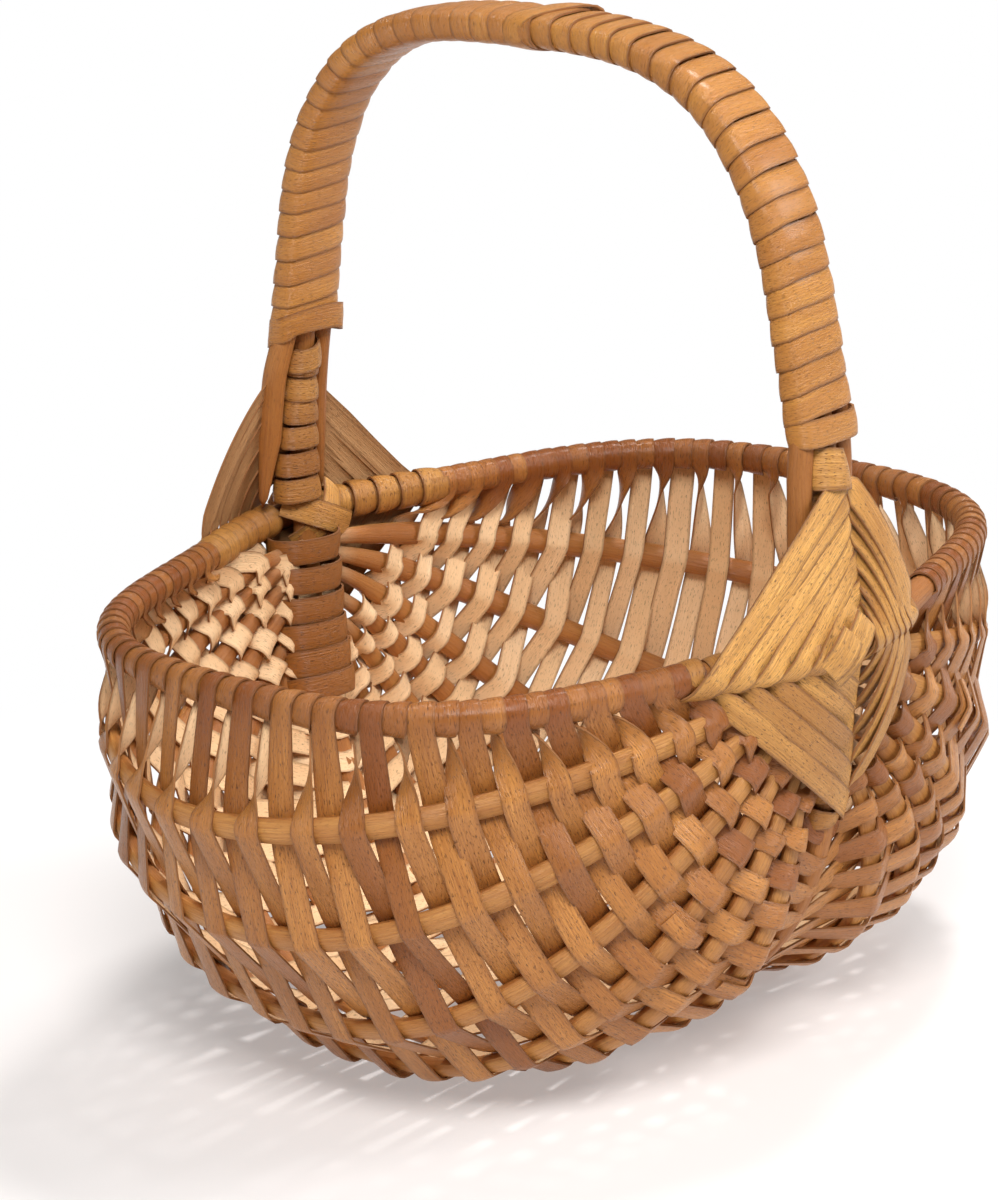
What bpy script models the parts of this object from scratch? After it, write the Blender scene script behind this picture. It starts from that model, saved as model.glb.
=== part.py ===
# Mushroom foraging basket: a ribbed willow frame, woven with flat splints, with a fixed hoop handle.
# Lengths are in millimetres here and become metres when a mesh is made. X is the long way, Y runs
# from the near crossing of the two hoops to the far one, Z is up, and the floor is at zero.
import math

import bmesh
import bpy
import mathutils
import numpy as np

for old in list(bpy.data.objects):
    bpy.data.objects.remove(old)

# Units
METRES = 0.001

# Hoops
HOOP_RADIUS = 5.0
HOOP_GAP = 0.4
RIM_HALF_LENGTH = 176.0
RIM_HALF_WIDTH = 121.0
RIM_HEIGHT = 170.0
RIM_BULGE = 23.8
RIM_BULGE_REACH = 61.5
RIM_POWER = 2.94
HANDLE_RISE = 211.5
HANDLE_HEIGHT_SHARES = (0.0, 0.27, 0.515, 0.742, 0.913, 1.0)
HANDLE_WIDTH_SHARES = (1.0, 0.99, 0.93, 0.843, 0.646, 0.0)
KEEL_HEIGHT = 8.6
KEEL_POWER = 2.73
HANDLE_PIECES = 50

# Ribs, from the rim down to the keel. The right side hangs deeper than the left one.
RIB_RADIUS = 4.3
RIB_TIP_RADIUS = 2.2
RIB_TAPER = 60.0
RIB_BEYOND_KEEL = 0.6
RIB_END_REACH = 45.0
RIB_END_PIECES = 2
LEFT_RIB_OUT_REACHES = (193.0, 179.6, 150.0, 117.8, 83.6, 42.8)
LEFT_RIB_LOW_HEIGHTS = (126.4, 80.8, 36.6, 11.6, 5.85, 7.4)
LEFT_RIB_START_DEPTHS = (10.0, 15.0, 21.5, 31.0, 43.0, 52.0)
RIGHT_RIB_OUT_REACHES = (193.5, 178.0, 143.0, 112.0, 83.6, 42.8)
RIGHT_RIB_LOW_HEIGHTS = (111.0, 54.0, 16.0, 8.6, 5.85, 7.4)
RIGHT_RIB_START_DEPTHS = (10.0, 16.0, 23.0, 34.0, 44.0, 52.0)
RIB_START_OFFSETS = (6.0, 6.0, 7.0, 8.0, 9.0, 11.0)
RIB_PLAN_POWERS = (2.1, 2.41, 2.72, 3.04, 3.35, 3.66)
RIB_SIDE_POWERS = (1.79, 1.98, 2.17, 2.35, 2.54, 2.73)

# Weavers
SPLINT_WIDTH = 8.0
SPLINT_THICKNESS = 0.9
SPLINT_GAP = 0.72
WRAP_GAP = 0.9
ROWS = 36
ROWS_A_WEAVER = 6
ROWS_START_REACH = 76.0
FIRST_ROW_POWER = 1.35
WRAP_POINTS = 5
WRAP_LAP = math.radians(22.0)
RESTING_RIBS = (4, 5)
RESTING_LENGTH = 3.6
CLEARING_PASSES = 8

# Crossing lashings
LASHING_WIDTH = 5.1
LASHING_NARROW = 2.3
LASHING_PITCH = 8.0
LASHING_TURNS = 7
LASHING_FIRST_REACH = 15.5
LOOP_DEGREES = (-45.0, 45.0, 135.0, 225.0, 315.0, 405.0)
LOOP_HALF_STEP = math.radians(45.0)
LOOP_SHIFT_SHARES = (-0.84, -0.99, -0.86, -0.5, -0.31, -0.46)
WIDE_SHARES = (0.22, 0.78)
WIDE_RUN = 20.0

# Grip
GRIP_ROD_RADIUS = 4.6
GRIP_ROD_GAP = 0.35
GRIP_ROD_END = 45.0
GRIP_ROD_TAPER = 30.0
GRIP_ROD_TIP_RADIUS = 1.2
GRIP_ROD_FLARE = 2.4
FLARE_START = 80.0
FLARE_LENGTH = 18.0
BINDING_WIDTH = 7.6
BINDING_THICKNESS = 0.9
BINDING_GAP = 0.45
BINDING_START = 84.0
BINDING_MEETING_GAP = 3.0
BINDING_TURNS = 22
BINDING_CORNER_DEGREES = (67.5, 22.5, -22.5, -67.5)
BINDING_HALF_STEP = math.radians(22.5)

# Finish
ROD_SIDES_STEP = 1
FINE_POINTS = 1441
DENSE_STEP = 1.5
GAP_SEARCH = 6.0
GAP_SKIP_WIDTHS = 4
HALF = 0.5
LEFT = -1.0
RIGHT = 1.0
NEAR = -1.0
FAR = 1.0
SIDE_RIBS = {
    LEFT: (LEFT_RIB_OUT_REACHES, LEFT_RIB_LOW_HEIGHTS, LEFT_RIB_START_DEPTHS),
    RIGHT: (RIGHT_RIB_OUT_REACHES, RIGHT_RIB_LOW_HEIGHTS, RIGHT_RIB_START_DEPTHS),
}


def make_material(name, colour, roughness):
    made = bpy.data.materials.new(name)
    made.use_nodes = True
    shader = made.node_tree.nodes["Principled BSDF"]
    shader.inputs["Base Color"].default_value = (*colour, 1.0)
    shader.inputs["Roughness"].default_value = roughness
    shader.inputs["Metallic"].default_value = 0.0
    return made


HOOP_WILLOW = make_material("hoop willow", (0.42, 0.22, 0.09), 0.5)
RIB_WILLOW = make_material("rib willow", (0.62, 0.38, 0.18), 0.6)
GRIP_WILLOW = make_material("grip rod willow", (0.50, 0.27, 0.11), 0.5)
WEAVER_WILLOW = make_material("weaver willow", (0.58, 0.33, 0.14), 0.55)
BINDING_WILLOW = make_material("binding willow", (0.53, 0.27, 0.10), 0.4)
LASHING_WILLOW = make_material("lashing willow", (0.66, 0.42, 0.19), 0.45)


def unit(vectors):
    return vectors / np.linalg.norm(vectors, axis=-1, keepdims=True)


def lengths_along(points):
    steps = np.linalg.norm(np.diff(points, axis=0), axis=1)
    return np.concatenate([[0.0], np.cumsum(steps)])


def place_at(points, lengths, wanted):
    return np.stack([np.interp(wanted, lengths, points[:, axis]) for axis in range(3)], axis=-1)


def heading_at(points, lengths, wanted):
    piece = np.clip(np.searchsorted(lengths, wanted, side="right") - 1, 0, len(points) - 2)
    return unit(points[piece + 1] - points[piece])


# Curves of the frame
def oval_pair(power):
    turn = np.linspace(0.0, math.pi, FINE_POINTS)
    across = np.abs(np.sin(turn)) ** (2 / power)
    along = -np.sign(np.cos(turn)) * np.abs(np.cos(turn)) ** (2 / power)
    return across, along


def rim_curve(side):
    across, along = oval_pair(RIM_POWER)
    x = RIM_HALF_LENGTH * across
    bulge = 1 + RIM_BULGE / RIM_HALF_WIDTH * np.exp(-((x / RIM_BULGE_REACH) ** 2))
    y = RIM_HALF_WIDTH * along * bulge
    return np.stack([side * x, y, np.full(FINE_POINTS, RIM_HEIGHT)], axis=-1)


def handle_hoop_half_width():
    return RIM_HALF_WIDTH + RIM_BULGE - 2 * HOOP_RADIUS - HOOP_GAP


def keel_curve():
    across, along = oval_pair(KEEL_POWER)
    z = RIM_HEIGHT - (RIM_HEIGHT - KEEL_HEIGHT) * across
    return np.stack([np.zeros(FINE_POINTS), handle_hoop_half_width() * along, z], axis=-1)


def rib_curve(number, side):
    out_reaches, low_heights, start_depths = SIDE_RIBS[side]
    across, along = oval_pair(RIB_PLAN_POWERS[number])
    start = RIB_START_OFFSETS[number]
    top = RIM_HEIGHT - start_depths[number]
    side_power = RIB_SIDE_POWERS[number]
    drop = np.clip(1 - np.abs(along) ** side_power, 0.0, None) ** (1 / side_power)
    x = start + (out_reaches[number] - start) * across
    z = top - (top - low_heights[number]) * drop
    half_width = handle_hoop_half_width() + RIB_BEYOND_KEEL
    return np.stack([side * x, half_width * along, z], axis=-1)


def natural_spline(knots, values, wanted):
    """A natural cubic through the values, one column at a time."""
    gaps = np.diff(knots)
    count = len(knots)
    matrix = np.eye(count)
    right = np.zeros((count, values.shape[1]))
    slopes = np.diff(values, axis=0) / gaps[:, None]
    for i in range(1, count - 1):
        matrix[i, i - 1:i + 2] = (gaps[i - 1], 2 * (gaps[i - 1] + gaps[i]), gaps[i])
        right[i] = 6 * (slopes[i] - slopes[i - 1])
    bends = np.linalg.solve(matrix, right)
    piece = np.clip(np.searchsorted(knots, wanted, side="right") - 1, 0, count - 2)
    span = gaps[piece][:, None]
    after = (wanted - knots[piece])[:, None]
    before = span - after
    curved = (bends[piece] * before ** 3 + bends[piece + 1] * after ** 3) / (6 * span)
    start = (values[piece] / span - bends[piece] * span / 6) * before
    end = (values[piece + 1] / span - bends[piece + 1] * span / 6) * after
    return curved + start + end


def handle_curve():
    """The handle from the near crossing over the top to the far crossing."""
    width = handle_hoop_half_width()
    knots = [(-width * w, HANDLE_RISE * h) for h, w in zip(HANDLE_HEIGHT_SHARES, HANDLE_WIDTH_SHARES)]
    knots += [(-y, z) for y, z in reversed(knots[:-1])]
    knots = np.array(knots)
    travelled = lengths_along(knots)
    bent = natural_spline(travelled, knots, np.linspace(0.0, travelled[-1], FINE_POINTS))
    return np.stack([np.zeros(FINE_POINTS), bent[:, 0], RIM_HEIGHT + bent[:, 1]], axis=-1)


# Members: curves cut into straight pieces, with a station for each row of weaving
def reach_from_crossing(points, power=1.0):
    sideways, upward = np.abs(points[..., 0]), np.abs(points[..., 2] - RIM_HEIGHT)
    return (sideways ** power + upward ** power) ** (1 / power)


class Member:
    """A curve from the near crossing to the far one. Its station counts rows of weaving."""

    def __init__(self, curve, end_reach, end_pieces, rows_a_piece, full_radius, tip_radius, taper):
        lengths = lengths_along(curve)
        woven = np.nonzero(reach_from_crossing(curve, FIRST_ROW_POWER) >= ROWS_START_REACH)[0]
        kept = np.nonzero(reach_from_crossing(curve) >= end_reach)[0]
        start, stop = lengths[woven[0]], lengths[woven[-1]]
        low, high = lengths[kept[0]], lengths[kept[-1]]
        spots = np.concatenate([
            np.linspace(low, start, end_pieces + 1)[:-1],
            np.linspace(start, stop, ROWS // rows_a_piece + 1),
            np.linspace(stop, high, end_pieces + 1)[1:]])
        self.points = place_at(curve, lengths, spots)
        self.stations = (spots - start) / (stop - start) * ROWS
        from_end = np.minimum(spots - low, high - spots)
        share = np.clip(from_end / taper, 0.0, 1.0) if taper else np.ones(len(spots))
        self.radii = tip_radius + (full_radius - tip_radius) * share

    def at(self, station):
        return place_at(self.points, self.stations, station)

    def along(self, station):
        return heading_at(self.points, self.stations, station)

    def radius(self, station):
        return np.interp(station, self.stations, self.radii)


def frame_rib(number, side):
    return Member(rib_curve(number, side), RIB_END_REACH, RIB_END_PIECES, 2,
                  RIB_RADIUS, RIB_TIP_RADIUS, RIB_TAPER)


def frame_hoop(curve, rows_a_piece):
    pieces = round(ROWS_START_REACH / SPLINT_WIDTH)
    return Member(curve, 0.0, pieces, rows_a_piece, HOOP_RADIUS, HOOP_RADIUS, 0.0)


RIM_LEFT = frame_hoop(rim_curve(LEFT), 1)
RIM_RIGHT = frame_hoop(rim_curve(RIGHT), 1)
KEEL = frame_hoop(keel_curve(), 2)
RIB_COUNT = len(RIB_START_OFFSETS)
RIBS_LEFT = [frame_rib(number, LEFT) for number in range(RIB_COUNT)]
RIBS_RIGHT = [frame_rib(number, RIGHT) for number in range(RIB_COUNT)]
MEMBERS = [RIM_LEFT, *RIBS_LEFT, KEEL, *reversed(RIBS_RIGHT), RIM_RIGHT]
KEEL_PLACE = RIB_COUNT + 1
LAST_PLACE = len(MEMBERS) - 1


def handle_points():
    curve = handle_curve()
    lengths = lengths_along(curve)
    return place_at(curve, lengths, np.linspace(0.0, lengths[-1], HANDLE_PIECES + 1))


HANDLE = handle_points()


# Round rods
def rod(name, points, radii, material, closed=False):
    data = bpy.data.curves.new(name, "CURVE")
    data.dimensions = "3D"
    data.bevel_depth = METRES
    data.bevel_resolution = ROD_SIDES_STEP
    data.use_fill_caps = True
    data.twist_mode = "MINIMUM"
    spline = data.splines.new("POLY")
    spline.points.add(len(points) - 1)
    for spot, place, radius in zip(spline.points, points * METRES, radii):
        spot.co = (*place, 1.0)
        spot.radius = radius
    spline.use_cyclic_u = closed
    spline.use_smooth = True
    made = bpy.data.objects.new(name, data)
    bpy.context.scene.collection.objects.link(made)
    data.materials.append(material)
    return made


def add_hoops():
    ring = np.concatenate([RIM_LEFT.points[:-1], RIM_RIGHT.points[:0:-1]])
    rod("rim_hoop", ring, np.full(len(ring), HOOP_RADIUS), HOOP_WILLOW, closed=True)
    hoop = np.concatenate([HANDLE[:-1], KEEL.points[:0:-1]])
    rod("handle_hoop", hoop, np.full(len(hoop), HOOP_RADIUS), HOOP_WILLOW, closed=True)


def add_ribs():
    for side_name, ribs in (("left", RIBS_LEFT), ("right", RIBS_RIGHT)):
        for number, rib in enumerate(ribs):
            rod(f"rib_{side_name}_{number + 1}", rib.points, rib.radii, RIB_WILLOW)


# Flat splints
def splint(name, centres, across, widths, thickness, material):
    """One closed flat band along the centres; across gives the way of its width at each.

    Opposite faces are cut the same way, so that a band that twists stays closed and sound.
    """
    ahead = np.zeros_like(centres)
    steps = unit(np.diff(centres, axis=0))
    ahead[:-1] += steps
    ahead[1:] += steps
    ahead = unit(ahead)
    first_or_last = np.concatenate([steps[:1], steps])
    mitre = np.clip((ahead * first_or_last).sum(axis=1), HALF, 1.0)[:, None]
    out = unit(np.cross(ahead, across)) * thickness * HALF / mitre
    side = across * widths[:, None] * HALF
    rings = np.stack([centres - side - out, centres + side - out,
                      centres + side + out, centres - side + out], axis=1)
    rings[..., 2] = np.maximum(rings[..., 2], 0.0)
    mesh = bmesh.new()
    corners = [[mesh.verts.new(corner * METRES) for corner in ring] for ring in rings]
    for ring, following in zip(corners, corners[1:]):
        for first, second in ((0, 1), (1, 2), (3, 2), (0, 3)):
            mesh.faces.new((ring[first], ring[second], following[second]))
            mesh.faces.new((ring[first], following[second], following[first]))
    mesh.faces.new(corners[0])
    mesh.faces.new(corners[-1])
    bmesh.ops.recalc_face_normals(mesh, faces=mesh.faces)
    data = bpy.data.meshes.new(name)
    mesh.to_mesh(data)
    mesh.free()
    data.materials.append(material)
    made = bpy.data.objects.new(name, data)
    bpy.context.scene.collection.objects.link(made)
    return rings


def least_gap(rings, width):
    """The least distance from the band to its own other turns, from points along its edges."""
    lengths = lengths_along(rings.mean(axis=1))
    spots = np.arange(0.0, lengths[-1], DENSE_STEP)
    cloud = mathutils.kdtree.KDTree(len(spots) * rings.shape[1])
    edges = [place_at(rings[:, corner], lengths, spots) for corner in range(rings.shape[1])]
    for edge in edges:
        for spot, place in zip(spots, edge):
            cloud.insert(place, round(spot / DENSE_STEP))
    cloud.balance()
    skip = round(GAP_SKIP_WIDTHS * width / DENSE_STEP)
    least = GAP_SEARCH
    for edge in edges:
        for here, place in enumerate(edge):
            for _, other, away in cloud.find_range(place, least):
                if abs(other - here) > skip:
                    least = min(least, away)
    return least


# Weaving
def outside_sign(row, place):
    return 1.0 if (row + place) % 2 == 0 else -1.0


def row_frames(row):
    station = row + HALF
    spots = np.array([member.at(station) for member in MEMBERS])
    along = np.array([member.along(station) for member in MEMBERS])
    onward = np.zeros_like(spots)
    onward[1:-1] = spots[2:] - spots[:-2]
    onward[0] = spots[1] - spots[0]
    onward[-1] = spots[-1] - spots[-2]
    onward = unit(onward - along * (onward * along).sum(axis=1)[:, None])
    return spots, along, onward, np.cross(along, onward)


def turn_distance():
    half_step = (math.pi + 2 * WRAP_LAP) / (WRAP_POINTS - 1) * HALF
    return (HOOP_RADIUS + WRAP_GAP + SPLINT_THICKNESS * HALF) / math.cos(half_step)


def crests_of(row):
    """Where the row passes each member, far enough from its middle to clear it on both slopes."""
    spots, along, onward, outward = row_frames(row)
    radii = np.array([member.radius(row + HALF) for member in MEMBERS])
    flat = radii + SPLINT_GAP + SPLINT_THICKNESS * HALF
    signs = np.array([outside_sign(row, place) for place in range(len(MEMBERS))])[:, None]
    sides = signs * outward
    off = flat.copy()
    turn_down = turn_distance() * (math.cos(WRAP_LAP) * sides + math.sin(WRAP_LAP) * onward)
    turn_up = turn_distance() * (math.cos(WRAP_LAP) * sides - math.sin(WRAP_LAP) * onward)
    for _ in range(CLEARING_PASSES):
        crests = spots + off[:, None] * sides
        crests[0] = spots[0] + turn_down[0]
        crests[-1] = spots[-1] + turn_up[-1]
        steps = np.diff(crests, axis=0)
        after = -(steps * sides[:-1]).sum(axis=1) / (steps * onward[:-1]).sum(axis=1)
        before = (steps * sides[1:]).sum(axis=1) / (steps * onward[1:]).sum(axis=1)
        steepest = np.maximum(np.append(after, 0.0), np.insert(before, 0, 0.0))
        off = flat * np.sqrt(1 + np.maximum(steepest, 0.0) ** 2)
    return spots + off[:, None] * sides, along, onward


def row_stops(row):
    """The row's middle line from the left rim to the right one, without its turns."""
    crests, along, onward = crests_of(row)
    stops = []
    for place in range(1, LAST_PLACE):
        from_keel = abs(place - KEEL_PLACE)
        rests = outside_sign(row, place) > 0 and RIB_COUNT - from_keel + 1 in RESTING_RIBS
        shifts = (-HALF * RESTING_LENGTH, HALF * RESTING_LENGTH) if rests else (0.0,)
        stops += [(crests[place] + shift * onward[place], along[place]) for shift in shifts]
    return stops


def rim_turn(place, row, next_row):
    """The splint's way round the rim, from this row's side of it to the other side."""
    rim = MEMBERS[place]
    angles = np.linspace(-WRAP_LAP, math.pi + WRAP_LAP, WRAP_POINTS)
    distance = turn_distance()
    if outside_sign(row, place) < 0:
        angles = angles[::-1]
    stops = []
    for angle, station in zip(angles, np.linspace(row, next_row, WRAP_POINTS) + HALF):
        spots = [rim.at(station), MEMBERS[place + (1 if place == 0 else -1)].at(station)]
        along = rim.along(station)
        up = spots[0] - spots[1]
        up = unit(up - along * (up @ along))
        outward = np.cross(along, -up if place == 0 else up)
        stops.append((spots[0] + distance * (math.cos(angle) * outward + math.sin(angle) * up), along))
    return stops


def weaver_stops(first_row):
    stops = rim_turn(0, first_row, first_row)[::-1]
    for count in range(ROWS_A_WEAVER):
        row = first_row + count
        leftward = count % 2 == 1
        stops += row_stops(row)[::-1] if leftward else row_stops(row)
        last = count == ROWS_A_WEAVER - 1
        stops += rim_turn(0 if leftward else LAST_PLACE, row, row if last else row + 1)
    return stops


def add_weavers():
    for number in range(ROWS // ROWS_A_WEAVER):
        stops = weaver_stops(number * ROWS_A_WEAVER)
        centres = np.array([centre for centre, across in stops])
        across = np.array([across for centre, across in stops])
        rings = splint(f"weaver_{number + 1}", centres, across, np.full(len(stops), SPLINT_WIDTH),
                       SPLINT_THICKNESS, WEAVER_WILLOW)
        gap = least_gap(rings, SPLINT_WIDTH)
        print(f"weaver_{number + 1}: least gap to itself {gap:.2f} mm, lowest {rings[..., 2].min():.2f}")


# Crossing lashings
class Arm:
    """A hoop's way out from a crossing, measured from it."""

    def __init__(self, points, end):
        self.points = points
        self.lengths = lengths_along(points)
        self.front = np.array([0.0, end, 0.0])

    def frame(self, reach):
        middle = place_at(self.points, self.lengths, reach)
        outward = heading_at(self.points, self.lengths, reach)
        front = unit(self.front - outward * (self.front @ outward))
        return middle, outward, front, np.cross(front, outward)


def arms_of(end):
    ahead = slice(None) if end == NEAR else slice(None, None, -1)
    handle, keel = Arm(HANDLE[ahead], end), Arm(KEEL.points[ahead], end)
    left, right = Arm(RIM_LEFT.points[ahead], end), Arm(RIM_RIGHT.points[ahead], end)
    return [handle, left, keel, right] if end == NEAR else [handle, right, keel, left]


def loop_stops(arm, reach):
    """One loop of the lashing round an arm: over its front, round behind and over its front again."""
    distance = (HOOP_RADIUS + SPLINT_GAP + SPLINT_THICKNESS * HALF) / math.cos(LOOP_HALF_STEP)
    stops = []
    for degrees, share in zip(LOOP_DEGREES, LOOP_SHIFT_SHARES):
        middle, outward, front, onward = arm.frame(reach + share * LASHING_PITCH)
        angle = math.radians(degrees)
        place = middle + distance * (math.cos(angle) * front + math.sin(angle) * onward)
        stops.append((place, outward, LASHING_NARROW))
    return stops


def rib_tops(ribs, start, finish, end):
    """Where the strand from start to finish would lie on each rib below it."""
    tops = []
    for number, rib in enumerate(ribs):
        share = (number + 1) / (len(ribs) + 1)
        wanted = reach_from_crossing(start) * (1 - share) + reach_from_crossing(finish) * share
        near_end = slice(0, len(rib.points) // 2) if end == NEAR else slice(-1, -len(rib.points) // 2, -1)
        reaches = reach_from_crossing(rib.points[near_end])
        if wanted < reaches[0] - LASHING_WIDTH:
            continue
        station = np.interp(wanted, reaches, rib.stations[near_end])
        lift = rib.radius(station) + SPLINT_GAP + SPLINT_THICKNESS
        tops.append(rib.at(station) + np.array([0.0, end * lift, 0.0]))
    return tops


def taut(start, tops, finish):
    """The tops that a strand pulled tight from start to finish bends over."""
    way = unit(finish - start)
    front = np.array([0.0, np.sign(start[1]), 0.0])
    chain = [start, *sorted(tops, key=lambda top: (top - start) @ way), finish]
    i = 1
    while i < len(chain) - 1:
        before, here, after = chain[i - 1], chain[i], chain[i + 1]
        share = ((here - before) @ way) / ((after - before) @ way)
        if (here - before - share * (after - before)) @ front > 0:
            i += 1
        else:
            del chain[i]
            i = max(i - 1, 1)
    return np.array(chain)


def quadrant_stops(start, finish, ribs, end):
    chain = taut(start, rib_tops(ribs, start, finish, end), finish)
    lengths = lengths_along(chain)
    shares = np.sort(np.concatenate([lengths[1:-1] / lengths[-1], WIDE_SHARES]))
    kept = shares[(shares >= WIDE_SHARES[0]) & (shares <= WIDE_SHARES[1])]
    if lengths[-1] < WIDE_RUN / WIDE_SHARES[0] * HALF:
        return []
    crossing = np.array([0.0, start[1], RIM_HEIGHT])
    places = place_at(chain, lengths, kept * lengths[-1])
    run = np.minimum(kept, 1 - kept) * lengths[-1]
    widths = LASHING_NARROW + (LASHING_WIDTH - LASHING_NARROW) * np.minimum(run / WIDE_RUN, 1.0)
    return [(place, unit(place - crossing), width) for place, width in zip(places, widths)]


def lashing_stops(end):
    arms = arms_of(end)
    first, second = (RIBS_LEFT, RIBS_RIGHT) if end == NEAR else (RIBS_RIGHT, RIBS_LEFT)
    ribs_after = [[], first, second[::-1], []]
    stops = []
    for turn in range(LASHING_TURNS):
        for number, arm in enumerate(arms):
            reach = LASHING_FIRST_REACH + LASHING_PITCH * (turn + number / len(arms))
            loop = loop_stops(arm, reach)
            if stops:
                stops += quadrant_stops(stops[-1][0], loop[0][0], ribs_after[number - 1], end)
            stops += loop
    return stops


def add_lashings():
    for name, end in (("near", NEAR), ("far", FAR)):
        stops = lashing_stops(end)
        centres = np.array([place for place, across, width in stops])
        across = np.array([across for place, across, width in stops])
        widths = np.array([width for place, across, width in stops])
        rings = splint(f"crossing_lashing_{name}", centres, across, widths, SPLINT_THICKNESS, LASHING_WILLOW)
        gap = least_gap(rings, LASHING_WIDTH)
        print(f"crossing_lashing_{name}: least gap to itself {gap:.2f} mm")


# Grip
def grip_offset():
    return HOOP_RADIUS + GRIP_ROD_GAP + GRIP_ROD_RADIUS


def add_grip_rods():
    lengths = lengths_along(HANDLE)
    total = lengths[-1]
    inner = lengths[(lengths > GRIP_ROD_END) & (lengths < total - GRIP_ROD_END)]
    spots = np.concatenate([[GRIP_ROD_END], inner, [total - GRIP_ROD_END]])
    places = place_at(HANDLE, lengths, spots)
    from_crossing = np.minimum(spots, total - spots)
    flare = GRIP_ROD_FLARE * np.clip((FLARE_START - from_crossing) / FLARE_LENGTH, 0.0, 1.0)
    share = np.clip((from_crossing - GRIP_ROD_END) / GRIP_ROD_TAPER, 0.0, 1.0)
    radii = GRIP_ROD_TIP_RADIUS + (GRIP_ROD_RADIUS - GRIP_ROD_TIP_RADIUS) * share
    for side_name, side in (("left", LEFT), ("right", RIGHT)):
        moved = places.copy()
        moved[:, 0] += side * (grip_offset() + flare)
        rod(f"grip_rod_{side_name}", moved, radii, GRIP_WILLOW)


def binding_corners():
    """The eight corners of one turn, as sideways and outward distances."""
    distance = (HOOP_RADIUS + BINDING_GAP + BINDING_THICKNESS * HALF) / math.cos(BINDING_HALF_STEP)
    angles = [math.radians(degrees) for degrees in BINDING_CORNER_DEGREES]
    right = [(grip_offset() + distance * math.cos(a), distance * math.sin(a)) for a in angles]
    return right + [(-sideways, -outward) for sideways, outward in right]


def add_bindings():
    corners = binding_corners()
    for name, points in (("near", HANDLE), ("far", HANDLE[::-1])):
        lengths = lengths_along(points)
        finish = lengths[-1] * HALF - BINDING_MEETING_GAP
        count = BINDING_TURNS * len(corners)
        stops = []
        for i, reach in enumerate(np.linspace(BINDING_START, finish, count + 1)):
            sideways, outward = corners[i % len(corners)]
            ahead = heading_at(points, lengths, reach)
            across = np.array([1.0, 0.0, 0.0])
            stops.append((place_at(points, lengths, reach) + sideways * across
                          + outward * np.cross(ahead, across), ahead))
        centres = np.array([place for place, ahead in stops])
        ahead = np.array([ahead for place, ahead in stops])
        rings = splint(f"grip_binding_{name}", centres, ahead, np.full(len(stops), BINDING_WIDTH),
                       BINDING_THICKNESS, BINDING_WILLOW)
        gap = least_gap(rings, BINDING_WIDTH)
        print(f"grip_binding_{name}: least gap to itself {gap:.2f} mm")


add_hoops()
add_ribs()
add_weavers()
add_lashings()
add_grip_rods()
add_bindings()
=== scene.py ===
# Mushroom foraging basket: willow rods, flat splints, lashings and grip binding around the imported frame.
# Lengths are in millimetres and become metres when a mesh is made; lights and floor are in metres.
# X is the long way, Y runs from the near crossing of the hoops to the far one, and Z is up from the floor.
# Tones go from 0, a fresh pale splint, to 1 and past it, a brown one.
from math import acos, atan2, copysign, cos, pi, radians, sin

import bpy
import numpy as np
from mathutils import Matrix
from numpy.random import default_rng


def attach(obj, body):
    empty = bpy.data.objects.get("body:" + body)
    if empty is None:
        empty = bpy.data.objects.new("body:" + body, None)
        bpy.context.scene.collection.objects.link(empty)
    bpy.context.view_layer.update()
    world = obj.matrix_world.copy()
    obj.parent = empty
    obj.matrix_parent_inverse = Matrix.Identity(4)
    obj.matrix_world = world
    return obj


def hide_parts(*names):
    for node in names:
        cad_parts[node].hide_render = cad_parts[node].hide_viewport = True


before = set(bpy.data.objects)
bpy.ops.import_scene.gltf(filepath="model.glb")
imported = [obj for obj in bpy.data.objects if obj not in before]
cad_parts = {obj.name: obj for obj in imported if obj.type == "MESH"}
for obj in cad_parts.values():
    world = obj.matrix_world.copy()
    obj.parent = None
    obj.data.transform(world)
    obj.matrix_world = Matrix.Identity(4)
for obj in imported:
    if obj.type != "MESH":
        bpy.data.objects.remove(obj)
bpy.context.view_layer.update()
METRES = 0.001

LEFT, RIGHT = -1.0, 1.0
NEAR, FAR = -1.0, 1.0

# Hoops
HOOP_RADIUS = 5.0
HOOP_GAP = 0.4
RIM_HALF_LENGTH = 176.0
RIM_HALF_WIDTH = 121.0
RIM_HEIGHT = 170.0
RIM_BULGE = 23.8
RIM_BULGE_REACH = 61.5
RIM_POWER = 2.94
HANDLE_RISE = 211.5
# Shares of the rise and of the half width
HANDLE_SHARES = ((0.0, 1.0), (0.27, 0.99), (0.515, 0.93), (0.742, 0.843), (0.913, 0.646), (1.0, 0.0))
HANDLE_HALF_WIDTH = RIM_HALF_WIDTH + RIM_BULGE - 2 * HOOP_RADIUS - HOOP_GAP
KEEL_HEIGHT = 8.6
KEEL_POWER = 2.73

# Ribs, from the rim down to the keel
RIB_HALF_WIDE = 5.0
RIB_HALF_DEEP = 4.0
RIB_FLATTENING = 0.35
RIB_TAPER = 55.0
RIB_TIP_SHARE = 0.45
RIB_TIP_INSET = 4.0
RIB_TIP_INSET_LENGTH = 62.0
RIB_TIP_WAY = (0.2, 1.0, 1.0)
RIB_BEYOND_KEEL = 0.6
RIB_PALE_LENGTH = 24.0
RIB_INNER_TONE = 0.6
RIB_START_OFFSETS = (6.0, 6.0, 7.0, 8.0, 9.0, 11.0)
RIB_PLAN_POWERS = (2.1, 2.41, 2.72, 3.04, 3.35, 3.66)
RIB_SIDE_POWERS = (1.79, 1.98, 2.17, 2.35, 2.54, 2.73)
RIB_COUNT = len(RIB_START_OFFSETS)
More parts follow.
